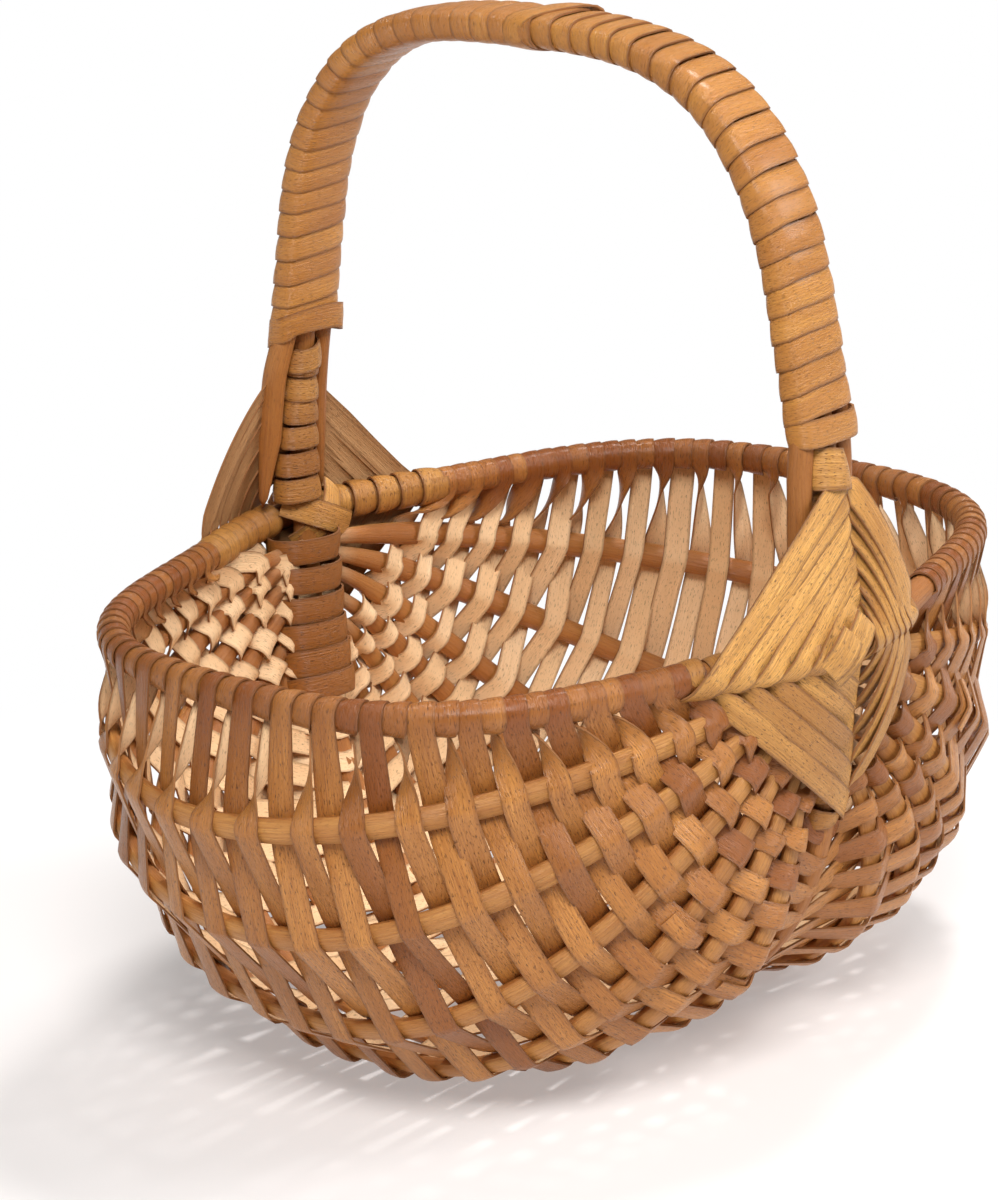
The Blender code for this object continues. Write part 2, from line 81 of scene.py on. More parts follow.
# How far out the ribs of a side reach, their lowest heights, and how deep under the rim they start
SIDE_RIBS = {
    LEFT: ((193.0, 179.6, 150.0, 117.8, 83.6, 42.8), (126.4, 80.8, 36.6, 11.6, 5.85, 7.4),
           (10.0, 15.0, 21.5, 31.0, 43.0, 52.0)),
    RIGHT: ((193.5, 178.0, 143.0, 112.0, 83.6, 42.8), (111.0, 54.0, 16.0, 8.6, 5.85, 7.4),
            (10.0, 16.0, 23.0, 34.0, 44.0, 52.0)),
}
RIB_SEEDS = {LEFT: 20, RIGHT: 10}

# Weaving
ROWS = 48
ROWS_A_WEAVER = 8
ROWS_START_REACH = 67.0
FIRST_ROW_POWER = 1.03
ROW_MIDDLE = 0.5
ROW_CROWDING = 0.14
ROW_SWAY = 0.12
SPLINT_WIDTH = 9.6
SPLINT_WIDTH_SPREAD = 0.13
SPLINT_TONE = 0.42
SPLINT_TONE_SPREAD = 0.28
SPLINT_THICKNESS = 0.75
SPLINT_LIFT = 4.6
SPLINT_LIFT_SPREAD = (-0.2, 0.35)
SPLINT_CUP = 0.5
CROWDED_WIDTH_SHARE = 1.18
CREST_STOPS = 3
CREST_HALF = 2.8
CREST_HALF_SHARE = 0.24
CREST_DROP = 0.8
CREST_TILT = 0.16
WRAP_DISTANCE = HOOP_RADIUS + 0.9
WRAP_ANGLE = 3 * pi
WRAP_LAP = radians(24.0)
WRAP_STOPS = 19
WRAP_MOVE_START_SHARE = 0.36
WRAP_MOVE_SHARE = 0.28
WRAP_SHINGLE = 0.13
WRAP_WIDTH_SHARE = 0.96
WRAP_DARKER = 0.6
TWIST_SHARES = (0.15, 0.6)
TWIST_WIDTH_SHARE = 0.9
TURN_END = 11
# Seeds of the routes and of the splints laid along them
WEAVER_SEEDS = (100, 200)

# Short rows beside the far lashing, and the ends of new splints
FAR_ROWS = 4
FAR_ROW_TONES = (0.1, 0.6)
FAR_ROW_DROP = np.array([0.0, 2.0, 6.0])
FAR_ROW_KEEL = np.array([-6.0, 0.0, 0.0])
FAR_ROW_SEEDS = (150, 250)
SPLICES = 18
SPLICE_EDGE_ROWS = 3
SPLICE_EDGE_STOPS = 4
SPLICE_TONE = 0.4
SPLICE_TONE_SPREAD = 0.3
SPLICE_WIDTH_SHARE = 0.85
SPLICE_STOP_SHARES = (0.9, 0.9, 0.9, 0.85, 0.6)
SPLICE_START_SHARE = 0.4
SPLICE_END_SHARE = 0.38
SPLICE_LIFT = 1.1
SPLICE_LIFT_SHARES = (0.9, 1.0, 1.0, 1.0, 2.6)
SPLICE_SEEDS = (170, 260)

# Sampling of every band and rod
BAND_STEP = 2.2
BAND_COLUMNS = 4
BAND_TONE_WANDER = 0.22
BAND_TONE_POINTS = 26
BAND_DARKEST = 1.25
EDGE_WANDER = 0.06
EDGE_POINTS = 9
STOP_PIECES = 12
LEAST_STEPS = 8
WALK_LEAST_KNOTS = 4
WALK_SPARE_KNOTS = 3
ROD_STEP = 4.0
ROD_SIDES = 14
ROD_SWELL = 0.05
ROD_SWELL_POINTS = 8
ROD_TONE = 0.35
ROD_TONE_WANDER = 0.3
ROD_TONE_POINTS = 12
MERGE_DISTANCE = 0.02
GRAIN_OFFSETS = 9.0
FINE_POINTS = 1441
SMOOTH_ANGLE = radians(38.0)


def unit(vectors):
    return vectors / np.maximum(np.linalg.norm(vectors, axis=-1, keepdims=True), 1e-9)


def lengths_along(points):
    return np.concatenate([[0.0], np.cumsum(np.linalg.norm(np.diff(points, axis=0), axis=1))])


def place_at(points, lengths, wanted):
    return np.stack([np.interp(wanted, lengths, points[:, axis]) for axis in range(3)], axis=-1)


def headings(points):
    return unit(np.gradient(points, axis=0))


# The frame's curves, by the part's own rules
def oval_pair(power):
    turn = np.linspace(0.0, pi, FINE_POINTS)
    across = np.abs(np.sin(turn)) ** (2 / power)
    along = -np.sign(np.cos(turn)) * np.abs(np.cos(turn)) ** (2 / power)
    return across, along


def rim_curve(side):
    across, along = oval_pair(RIM_POWER)
    x = RIM_HALF_LENGTH * across
    bulge = 1 + RIM_BULGE / RIM_HALF_WIDTH * np.exp(-((x / RIM_BULGE_REACH) ** 2))
    return np.stack([side * x, RIM_HALF_WIDTH * along * bulge, np.full(FINE_POINTS, RIM_HEIGHT)], axis=-1)


def keel_curve():
    across, along = oval_pair(KEEL_POWER)
    z = RIM_HEIGHT - (RIM_HEIGHT - KEEL_HEIGHT) * across
    return np.stack([np.zeros(FINE_POINTS), HANDLE_HALF_WIDTH * along, z], axis=-1)


def rib_curve(number, side):
    out_reaches, low_heights, start_depths = SIDE_RIBS[side]
    across, along = oval_pair(RIB_PLAN_POWERS[number])
    start = RIB_START_OFFSETS[number]
    top = RIM_HEIGHT - start_depths[number]
    power = RIB_SIDE_POWERS[number]
    drop = np.clip(1 - np.abs(along) ** power, 0.0, None) ** (1 / power)
    x = start + (out_reaches[number] - start) * across
    z = top - (top - low_heights[number]) * drop
    curve = np.stack([side * x, (HANDLE_HALF_WIDTH + RIB_BEYOND_KEEL) * along, z], axis=-1)
    lengths = lengths_along(curve)
    near_tip = np.clip(1 - np.minimum(lengths, lengths[-1] - lengths) / RIB_TIP_INSET_LENGTH, 0.0, 1.0)
    curve[:, 1] -= np.sign(curve[:, 1]) * RIB_TIP_INSET * near_tip
    return curve


def natural_spline(knots, values, wanted):
    """A natural cubic through the values, one column at a time."""
    gaps = np.diff(knots)
    count = len(knots)
    matrix = np.eye(count)
    right = np.zeros((count, values.shape[1]))
    slopes = np.diff(values, axis=0) / gaps[:, None]
    for i in range(1, count - 1):
        matrix[i, i - 1:i + 2] = (gaps[i - 1], 2 * (gaps[i - 1] + gaps[i]), gaps[i])
        right[i] = 6 * (slopes[i] - slopes[i - 1])
    bends = np.linalg.solve(matrix, right)
    piece = np.clip(np.searchsorted(knots, wanted, side="right") - 1, 0, count - 2)
    span = gaps[piece][:, None]
    after = (wanted - knots[piece])[:, None]
    before = span - after
    curved = (bends[piece] * before ** 3 + bends[piece + 1] * after ** 3) / (6 * span)
    start = (values[piece] / span - bends[piece] * span / 6) * before
    end = (values[piece + 1] / span - bends[piece + 1] * span / 6) * after
    return curved + start + end


def handle_curve():
    knots = [(-HANDLE_HALF_WIDTH * across, HANDLE_RISE * up) for up, across in HANDLE_SHARES]
    knots += [(-y, z) for y, z in reversed(knots[:-1])]
    knots = np.array(knots)
    travelled = lengths_along(knots)
    bent = natural_spline(travelled, knots, np.linspace(0.0, travelled[-1], FINE_POINTS))
    return np.stack([np.zeros(FINE_POINTS), bent[:, 0], RIM_HEIGHT + bent[:, 1]], axis=-1)


def reach_from_crossing(points):
    sideways, upward = np.abs(points[..., 0]), np.abs(points[..., 2] - RIM_HEIGHT)
    return (sideways ** FIRST_ROW_POWER + upward ** FIRST_ROW_POWER) ** (1 / FIRST_ROW_POWER)


class Member:
    """A hoop or rib from the near crossing to the far one. Its station counts rows of weaving."""

    def __init__(self, curve):
        self.curve = curve
        self.lengths = lengths_along(curve)
        self.heading = headings(curve)
        woven = np.nonzero(reach_from_crossing(curve) >= ROWS_START_REACH)[0]
        self.start, self.stop = self.lengths[woven[0]], self.lengths[woven[-1]]

    def length_of(self, station):
        share = np.asarray(station) / ROWS
        crowded = share - ROW_CROWDING * np.sin(2 * pi * share) / (2 * pi)
        return self.start + crowded * (self.stop - self.start)

    def pitch(self):
        return (self.stop - self.start) / ROWS

    def at(self, station):
        return place_at(self.curve, self.lengths, self.length_of(station))

    def along(self, station):
        return unit(place_at(self.heading, self.lengths, self.length_of(station)))


RIM_LEFT, RIM_RIGHT, KEEL = Member(rim_curve(LEFT)), Member(rim_curve(RIGHT)), Member(keel_curve())
RIBS_LEFT = [Member(rib_curve(number, LEFT)) for number in range(RIB_COUNT)]
RIBS_RIGHT = [Member(rib_curve(number, RIGHT)) for number in range(RIB_COUNT)]
MEMBERS = [RIM_LEFT, *RIBS_LEFT, KEEL, *reversed(RIBS_RIGHT), RIM_RIGHT]
LAST_PLACE = len(MEMBERS) - 1
HANDLE = handle_curve()


# Grain of the willow: cycles a metre along and across a splint, detail and roughness of the noise, and the
# range of it that is stretched to 0 and 1. The fibres' count across is an input of the group.
NOISES = {
    "Fibre": (38.0, None, 4.0, 0.7, (0.3, 0.7)),
    "Fleck": (420.0, 2300.0, 2.0, 0.6, (0.61, 0.71)),
    "Blotch": (22.0, 130.0, 3.0, 0.6, (0.32, 0.68)),
}
# The outer part of the across value darkens both edges of a splint: painted shade of the gaps between
# splints.
EDGE_SHADE_RANGE = (0.74, 1.0)
GRAIN_INPUTS = {"Fibre Width": 2000.0, "Fleck Amount": 0.5, "Depth": 0.6}


def node(tree, kind, **settings):
    made = tree.nodes.new(kind)
    for key, value in settings.items():
        setattr(made, key, value)
    return made


def fill(made, values):
    """Sets a node's inputs by their names."""
    for name, value in values.items():
        made.inputs[name].default_value = value


def willow_grain_group():
    """Fibres, flecks and blotches that follow a splint's own length and width."""
    group = bpy.data.node_groups.new("willow grain", "ShaderNodeTree")
    for name, value in GRAIN_INPUTS.items():
        socket = group.interface.new_socket(name, in_out="INPUT", socket_type="NodeSocketFloat")
        socket.default_value = value
    link = group.links.new
    inputs = node(group, "NodeGroupInput")
    uv = node(group, "ShaderNodeUVMap", uv_map="UVMap")
    split = node(group, "ShaderNodeSeparateXYZ")
    link(uv.outputs["UV"], split.inputs[0])

    def worked(operation, first, second):
        made = node(group, "ShaderNodeMath", operation=operation)
        for source, socket in zip((first, second), made.inputs):
            if isinstance(source, float):
                socket.default_value = source
            else:
                link(source, socket)
        return made.outputs[0]

    def stretched(along, across, detail, rough):
        joined = node(group, "ShaderNodeCombineXYZ")
        link(worked("MULTIPLY", split.outputs["X"], along), joined.inputs["X"])
        link(worked("MULTIPLY", split.outputs["Y"], across), joined.inputs["Y"])
        noise = node(group, "ShaderNodeTexNoise", noise_dimensions="2D")
        fill(noise, {"Scale": 1.0, "Detail": detail, "Roughness": rough})
        link(joined.outputs[0], noise.inputs["Vector"])
        return noise.outputs["Fac"]

    def spread(source, span):
        made = node(group, "ShaderNodeMapRange")
        fill(made, {"From Min": span[0], "From Max": span[1]})
        link(source, made.inputs["Value"])
        return made.outputs[0]

    def attribute(name):
        return node(group, "ShaderNodeAttribute", attribute_name=name).outputs["Fac"]

    made = {}
    for name, (along, across, detail, rough, span) in NOISES.items():
        noise = stretched(along, across or inputs.outputs["Fibre Width"], detail, rough)
        made[name] = spread(noise, span)
    made["Fleck"] = worked("MULTIPLY", made["Fleck"], inputs.outputs["Fleck Amount"])
    made["Tone"] = attribute("tone")
    made["Pale"] = attribute("pale")
    made["Edge Shade"] = spread(attribute("across"), EDGE_SHADE_RANGE)
    depth = worked("MULTIPLY", made["Fibre"], inputs.outputs["Depth"])
    made["Height"] = worked("SUBTRACT", depth, made["Fleck"])
    outputs = node(group, "NodeGroupOutput")
    for name, source in made.items():
        group.interface.new_socket(name, in_out="OUTPUT", socket_type="NodeSocketFloat")
        link(source, outputs.inputs[name])
    return group


# Willow finishes
GRAIN = willow_grain_group()
FLECK_COLOUR = (0.10, 0.035, 0.012)
PALE_COLOUR = (0.66, 0.47, 0.28)
# The dark colour along the edges is painted shade.
EDGE_SHADE_COLOUR = (0.20, 0.075, 0.022)
TONE_SHARE, BLOTCH_SHARE, PALE_SHARE, FLECK_SHARE = 0.8, 0.35, 0.85, 1.0
ROUGHNESS_SPREAD = 0.12
BUMP_DISTANCE = 0.0006
BUMP_STRENGTH = 0.6
SPECULAR = 0.4
COAT_ROUGHNESS = 0.2


def willow(name, light, dark, roughness, flecks, fibres_across=2000.0, coat=0.0, fibre_share=0.65,
           edge_shade_share=0.6):
    """A willow finish between two colours, with its grain, flecks, tone and painted shade along its edges.
    """
    made = bpy.data.materials.new(name)
    made.use_nodes = True
    tree = made.node_tree
    link = tree.links.new
    shader = tree.nodes["Principled BSDF"]
    grain = node(tree, "ShaderNodeGroup")
    grain.node_tree = GRAIN
    fill(grain, {"Fibre Width": fibres_across, "Fleck Amount": flecks})
    colour = None
    # The edge layer is painted shade along both edges of a splint.
    layers = (("Tone", dark, TONE_SHARE), ("Blotch", dark, BLOTCH_SHARE), ("Fibre", dark, fibre_share),
              ("Pale", PALE_COLOUR, PALE_SHARE), ("Edge Shade", EDGE_SHADE_COLOUR, edge_shade_share),
              ("Fleck", FLECK_COLOUR, FLECK_SHARE))
    for source, target, share in layers:
        weight = node(tree, "ShaderNodeMath", operation="MULTIPLY", use_clamp=True)
        link(grain.outputs[source], weight.inputs[0])
        weight.inputs[1].default_value = share
        mix = node(tree, "ShaderNodeMix", data_type="RGBA")
        link(weight.outputs[0], mix.inputs["Factor"])
        if colour is None:
            mix.inputs["A"].default_value = (*light, 1.0)
        else:
            link(colour, mix.inputs["A"])
        mix.inputs["B"].default_value = (*target, 1.0)
        colour = mix.outputs["Result"]
    link(colour, shader.inputs["Base Color"])
    rough = node(tree, "ShaderNodeMapRange")
    fill(rough, {"To Min": roughness, "To Max": roughness + ROUGHNESS_SPREAD})
    link(grain.outputs["Fibre"], rough.inputs["Value"])
    link(rough.outputs[0], shader.inputs["Roughness"])
    bump = node(tree, "ShaderNodeBump")
    fill(bump, {"Distance": BUMP_DISTANCE, "Strength": BUMP_STRENGTH})
    link(grain.outputs["Height"], bump.inputs["Height"])
    link(bump.outputs[0], shader.inputs["Normal"])
    fill(shader, {"Specular IOR Level": SPECULAR, "Coat Weight": coat, "Coat Roughness": COAT_ROUGHNESS})
    return made


ROD_GRAIN = {"fibres_across": 1300.0, "edge_shade_share": 0.0}
WEAVE_FACE = willow("weave splint outer face", (0.76, 0.34, 0.085), (0.27, 0.078, 0.014), roughness=0.24,
                    flecks=0.8, coat=0.08)
WEAVE_BACK = willow("weave splint inner face", (1.0, 0.71, 0.43), (0.84, 0.53, 0.27), roughness=0.6,
                    flecks=0.5, fibre_share=0.5)
LASHING_FACE = willow("lashing splint outer face", (1.0, 0.532, 0.138), (0.31, 0.11, 0.02),
                      roughness=0.3, flecks=0.8, edge_shade_share=0.85)
LASHING_BACK = willow("lashing splint inner face", (0.66, 0.39, 0.18), (0.36, 0.17, 0.06),
                      roughness=0.55, flecks=0.5)
BINDING_FACE = willow("grip binding outer face", (0.74, 0.345, 0.072), (0.36, 0.12, 0.022),
                      roughness=0.24, flecks=0.5, coat=0.12, edge_shade_share=0.75)
SPLINT_EDGE = willow("splint cut edge", (0.40, 0.18, 0.06), (0.22, 0.085, 0.026), roughness=0.75,
                     flecks=0.1, **ROD_GRAIN)
RIB_FACE = willow("rib rod", (0.72, 0.36, 0.10), (0.34, 0.11, 0.024), roughness=0.34,
                  flecks=0.3, **ROD_GRAIN)
ROD_FACE = willow("hoop and grip rod", (0.53, 0.22, 0.052), (0.29, 0.092, 0.018), roughness=0.42,
                  flecks=0.3, **ROD_GRAIN)
FINISHES = {
    "hoop": (ROD_FACE,),
    "grip_rod": (ROD_FACE,),
    "rib": (RIB_FACE,),
    "weaver": (WEAVE_FACE, WEAVE_BACK, SPLINT_EDGE),
    "lashing": (LASHING_FACE, LASHING_BACK, SPLINT_EDGE),
    "binding": (BINDING_FACE, WEAVE_BACK, SPLINT_EDGE),
}


# Building bands and rods from a grid
def smooth_walk(random, count, step_points):
    """A slow random value from -1 to 1 along count points."""
    knots = random.uniform(-1.0, 1.0, max(WALK_LEAST_KNOTS, count // step_points + WALK_SPARE_KNOTS))
    return np.interp(np.linspace(0, len(knots) - 1, count), np.arange(len(knots)), knots)


def smooth_route(route):
    """A centripetal curve through the stops, sampled evenly, with its face normals, widths and tones."""
    stops, normals, widths, tones = (np.array(values) for values in zip(*route))
    gaps = np.sqrt(np.maximum(np.linalg.norm(np.diff(stops, axis=0), axis=1), 1e-6))
    knots = np.concatenate([[0.0], np.cumsum(gaps)])
    slopes = np.diff(stops, axis=0) / gaps[:, None]
    tangents = np.empty_like(stops)
    before, after = gaps[:-1, None], gaps[1:, None]
    tangents[1:-1] = (slopes[:-1] * after + slopes[1:] * before) / (before + after)
    tangents[0], tangents[-1] = slopes[0], slopes[-1]
    wanted = (knots[:-1, None] + gaps[:, None] * np.arange(STOP_PIECES) / STOP_PIECES).ravel()
    wanted = np.append(wanted, knots[-1])
    piece = np.clip(np.searchsorted(knots, wanted, side="right") - 1, 0, len(gaps) - 1)
    t = ((wanted - knots[piece]) / gaps[piece])[:, None]
    span = gaps[piece][:, None]
    places = ((2 * t ** 3 - 3 * t ** 2 + 1) * stops[piece]
              + (t ** 3 - 2 * t ** 2 + t) * span * tangents[piece]
              + (3 * t ** 2 - 2 * t ** 3) * stops[piece + 1]
              + (t ** 3 - t ** 2) * span * tangents[piece + 1])
    lengths = lengths_along(places)
    count = max(LEAST_STEPS, int(lengths[-1] / BAND_STEP)) + 1
    even = np.linspace(0.0, lengths[-1], count)
    at_knots = np.interp(even, lengths, wanted)
    faces = unit(np.stack([np.interp(at_knots, knots, normals[:, axis]) for axis in range(3)], axis=-1))
    wide, tone = np.interp(at_knots, knots, widths), np.interp(at_knots, knots, tones)
    return place_at(places, lengths, even), faces, wide, tone, lengths[-1]


def grid_piece(name, slot, columns, rows):
    """A flat grid to be laid along a route, with each point's place on it."""
    bpy.ops.object.select_all(action="DESELECT")
    bpy.ops.mesh.primitive_grid_add(x_subdivisions=columns, y_subdivisions=rows, size=2.0)
    piece = bpy.context.object
    piece.name = piece.data.name = name
    for material in FINISHES[slot]:
        piece.data.materials.append(material)
    flat = np.empty(len(piece.data.vertices) * 3)
    piece.data.vertices.foreach_get("co", flat)
    flat = flat.reshape(-1, 3)
    return piece, np.rint((flat[:, 0] + 1) / 2 * columns).astype(int), flat[:, 1]


def lay_out(piece, places, size, offset, **point_values):
    """Moves the grid's points to their places, scales its texture map and gives its points values."""
    piece.data.vertices.foreach_set("co", (places * METRES).ravel())
    piece.data.update()
    layer = piece.data.uv_layers.active.data
    uv = np.empty(len(layer) * 2)
    layer.foreach_get("uv", uv)
    uv = uv.reshape(-1, 2) * (size[0] * METRES, size[1] * METRES) + offset
    layer.foreach_set("uv", uv.ravel())
    for name, values in point_values.items():
        made = piece.data.attributes.new(name, "FLOAT", "POINT")
        made.data.foreach_set("value", np.ascontiguousarray(values, dtype=np.float32))


def finish(piece, replaced):
    bpy.ops.object.shade_smooth_by_angle(angle=SMOOTH_ANGLE)
    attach(piece, "root")
    if replaced:
        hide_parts(*replaced)


def band(name, route, slot, seed, replaced=()):
    """One flat splint laid along its stops, with its good face along their normals."""
    random = default_rng(seed)
    places, faces, wide, tone, length = smooth_route(route)
    count = len(places)
    ahead = headings(places)
    faces = unit(faces - ahead * (faces * ahead).sum(axis=1)[:, None])
    side = np.cross(faces, ahead)
    edge_low = 1 + EDGE_WANDER * smooth_walk(random, count, EDGE_POINTS)
    edge_high = 1 + EDGE_WANDER * smooth_walk(random, count, EDGE_POINTS)
    piece, spot, v = grid_piece(name, slot, count - 1, BAND_COLUMNS)
    reach = np.where(v > 0, edge_high[spot], edge_low[spot]) * v * wide[spot] / 2
    lift = -SPLINT_CUP * v ** 2
    offset = random.uniform(0.0, GRAIN_OFFSETS, 2)
    shade = tone + BAND_TONE_WANDER * smooth_walk(random, count, BAND_TONE_POINTS)
    shade = np.clip(shade, 0.0, BAND_DARKEST)
    # The across value places the painted shade along the edges.
    lay_out(piece, places[spot] + side[spot] * reach[:, None] + faces[spot] * lift[:, None],
            (length, np.mean(wide)), offset, tone=shade[spot], across=np.abs(v))
    wall = piece.modifiers.new("thickness", "SOLIDIFY")
    wall.thickness = SPLINT_THICKNESS * METRES
    wall.offset = 0.0
    wall.material_offset = 1
    wall.material_offset_rim = 2
    bpy.ops.object.modifier_apply(modifier=wall.name)
    finish(piece, replaced)


def rod(name, places, towards, half_wide, half_deep, slot, seed, replaced, closed=False, flattening=0.0,
        pale_ends=0.0, inner_tone=0.0):
    """One round rod, or one flattened on the side that lies towards the given ways."""
    random = default_rng(seed)
    lengths = lengths_along(places)
    count = int(lengths[-1] / ROD_STEP) + 1
    even = np.linspace(0.0, lengths[-1], count)
    from_end = np.minimum(even, lengths[-1] - even)
    middle = place_at(places, lengths, even)
    if closed:
        ahead = unit(np.roll(middle[:-1], -1, axis=0) - np.roll(middle[:-1], 1, axis=0))
        ahead = np.concatenate([ahead, ahead[:1]])
    else:
        ahead = headings(middle)
    up = place_at(towards, lengths, even)
    up = unit(up - ahead * (up * ahead).sum(axis=1)[:, None])
    side = np.cross(up, ahead)
    wide = np.interp(even, lengths, np.broadcast_to(half_wide, lengths.shape))
    deep = np.interp(even, lengths, np.broadcast_to(half_deep, lengths.shape))
    swell = np.ones(count)
    if not closed:
        tip = np.sqrt(np.clip(from_end / np.minimum(wide, deep).mean(), 0.0, 1.0))
        swell = (1 + ROD_SWELL * smooth_walk(random, count, ROD_SWELL_POINTS)) * tip
    piece, spot, v = grid_piece(name, slot, count - 1, ROD_SIDES)
    angle = pi * v
    flat = np.where(np.sin(angle) > 0, 1 - flattening, 1.0)
    across = side[spot] * (wide * swell)[spot][:, None] * np.cos(angle)[:, None]
    upward = up[spot] * (deep * swell)[spot][:, None] * (np.sin(angle) * flat)[:, None]
    offset = random.uniform(0.0, GRAIN_OFFSETS, 2)
    shade = ROD_TONE + ROD_TONE_WANDER * smooth_walk(random, count, ROD_TONE_POINTS)[spot]
    shade = np.clip(shade + inner_tone * (np.sin(angle) < 0), 0.0, 1.0)
    pale = np.clip(1 - from_end / pale_ends, 0.0, 1.0) if pale_ends else np.zeros(count)
    lay_out(piece, middle[spot] + across + upward, (lengths[-1], 2 * pi * np.mean(wide)), offset,
            tone=shade, pale=pale[spot])
    bpy.ops.object.mode_set(mode="EDIT")
    bpy.ops.mesh.select_all(action="SELECT")
    bpy.ops.mesh.remove_doubles(threshold=MERGE_DISTANCE * METRES)
    bpy.ops.mesh.normals_make_consistent(inside=False)
    bpy.ops.object.mode_set(mode="OBJECT")
    finish(piece, replaced)


def add_hoops():
    rim = np.concatenate([RIM_LEFT.curve, RIM_RIGHT.curve[-2::-1]])
    handle = np.concatenate([HANDLE, KEEL.curve[-2::-1]])
    for name, ring, way, seed in (("rim", rim, (0.0, 0.0, 1.0), 1), ("handle", handle, (1.0, 0.0, 0.0), 2)):
        towards = np.tile(way, (len(ring), 1))
        rod(f"{name}_rod", ring, towards, HOOP_RADIUS, HOOP_RADIUS, "hoop", seed,
            (f"{name}_hoop",), closed=True)


def add_ribs():
    middle = np.array([0.0, 0.0, RIM_HEIGHT])
    for side, side_name, ribs in ((LEFT, "left", RIBS_LEFT), (RIGHT, "right", RIBS_RIGHT)):
        for number, rib in enumerate(ribs):
            points = np.concatenate([rib.curve[:1] * RIB_TIP_WAY, rib.curve, rib.curve[-1:] * RIB_TIP_WAY])
            lengths = lengths_along(points)
            from_end = np.minimum(lengths, lengths[-1] - lengths)
            share = RIB_TIP_SHARE + (1 - RIB_TIP_SHARE) * np.clip(from_end / RIB_TAPER, 0.0, 1.0)
            rod(f"rib_rod_{side_name}_{number + 1}", points, points - middle, RIB_HALF_WIDE * share,
                RIB_HALF_DEEP * share, "rib", RIB_SEEDS[side] + number, (f"rib_{side_name}_{number + 1}",),
                flattening=RIB_FLATTENING, pale_ends=RIB_PALE_LENGTH, inner_tone=RIB_INNER_TONE)


# Weavers, far rows and splices
def outside_sign(row, place):
    return 1.0 if (row + place) % 2 == 0 else -1.0


def row_crests(row, width, tone, random):
    """Where a row passes each rib and the keel, from the left rim to the right one."""
    stations = row + ROW_MIDDLE + random.uniform(-ROW_SWAY, ROW_SWAY, len(MEMBERS))
    spots = np.array([member.at(station) for member, station in zip(MEMBERS, stations)])
    along = np.array([member.along(station) for member, station in zip(MEMBERS, stations)])
    onward = np.gradient(spots, axis=0)
    onward = unit(onward - along * (onward * along).sum(axis=1)[:, None])
    outward = np.cross(along, onward)
    stops = []
    for place in range(1, LAST_PLACE):
        sign = outside_sign(row, place)
        lift = SPLINT_LIFT + random.uniform(*SPLINT_LIFT_SPREAD)
        face = unit(outward[place] + along[place] * random.uniform(-CREST_TILT, CREST_TILT))
        kept = min(width, CROWDED_WIDTH_SHARE * MEMBERS[place].pitch())
        for way in (-1, 0, 1):
            gap = np.linalg.norm(spots[place + way] - spots[place])
            shift = min(CREST_HALF, CREST_HALF_SHARE * gap)
            out = sign * (lift - CREST_DROP * abs(way))
            spot = spots[place] + way * shift * onward[place] + out * outward[place]
            stops.append((spot, face, kept, tone))
    return stops


def rim_frame(place, station):
    rim = MEMBERS[place]
    spot = rim.at(station)
    along = rim.along(station)
    at_left = place == 0
    up = spot - MEMBERS[1 if at_left else LAST_PLACE - 1].at(station)
    up = unit(up - along * (up @ along))
    return spot, np.cross(along, -up if at_left else up), up, along


def rim_turn(place, row, width, tone, next_width, next_tone):
    """One and a half times round the rim, from this row to the next one, in the weaver's direction."""
    angles = np.linspace(-WRAP_LAP, WRAP_ANGLE + WRAP_LAP, WRAP_STOPS)
    progress = np.linspace(0.0, 1.0, WRAP_STOPS)
    if outside_sign(row, place) < 0:
        angles = angles[::-1]
    moved = np.clip((progress - WRAP_MOVE_START_SHARE) / WRAP_MOVE_SHARE, 0.0, 1.0)
    moved = moved * moved * (3 - 2 * moved)
    stops = []
    for angle, share in zip(angles, moved):
        spot, outward, up, along = rim_frame(place, row + ROW_MIDDLE + share)
        radial = cos(angle) * outward + sin(angle) * up
        wide, shade = (width, tone) if share < 0.5 else (next_width, next_tone)
        stops.append((spot + WRAP_DISTANCE * radial, unit(radial + WRAP_SHINGLE * along),
                      wide * WRAP_WIDTH_SHARE, shade + WRAP_DARKER))
    return stops


def twist(rim_stop, rib_stop, place, station, random):
    """The half twist just under the rim of a splint that leaves the rim on its inner side."""
    along = rim_frame(place, station)[3]
    share = random.uniform(*TWIST_SHARES)
    middle = rim_stop[0] * (1 - share) + rib_stop[0] * share
    return (middle, along, rib_stop[2] * TWIST_WIDTH_SHARE, rib_stop[3])


def weaver_route(first_row, random):
    widths = SPLINT_WIDTH * (1 + SPLINT_WIDTH_SPREAD * random.uniform(-1.0, 1.0, ROWS_A_WEAVER + 1))
    tones = np.clip(random.normal(SPLINT_TONE, SPLINT_TONE_SPREAD, ROWS_A_WEAVER + 1), 0.0, 1.0)
    stops = []
    for count in range(ROWS_A_WEAVER):
        row = first_row + count
        width, tone = widths[count], tones[count]
        leftward = count % 2 == 1
        crests = row_crests(row, width, tone, random)
        start_place, end_place = (LAST_PLACE, 0) if leftward else (0, LAST_PLACE)
        if leftward:
            crests = crests[::-1]
        turn = rim_turn(end_place, row, width, tone, widths[count + 1], tones[count + 1])
        if count == ROWS_A_WEAVER - 1 and row < ROWS - 1:
            turn = turn[:TURN_END]
        if not stops:
            stops = rim_turn(start_place, row - 1, width, tone, width, tone)[-TURN_END:]
        if outside_sign(row, start_place) < 0:
            stops.append(twist(stops[-1], crests[0], start_place, row + ROW_MIDDLE, random))
        stops += crests
        if outside_sign(row, end_place) < 0:
            stops.append(twist(turn[0], crests[-1], end_place, row + ROW_MIDDLE, random))
        stops += turn
    return stops


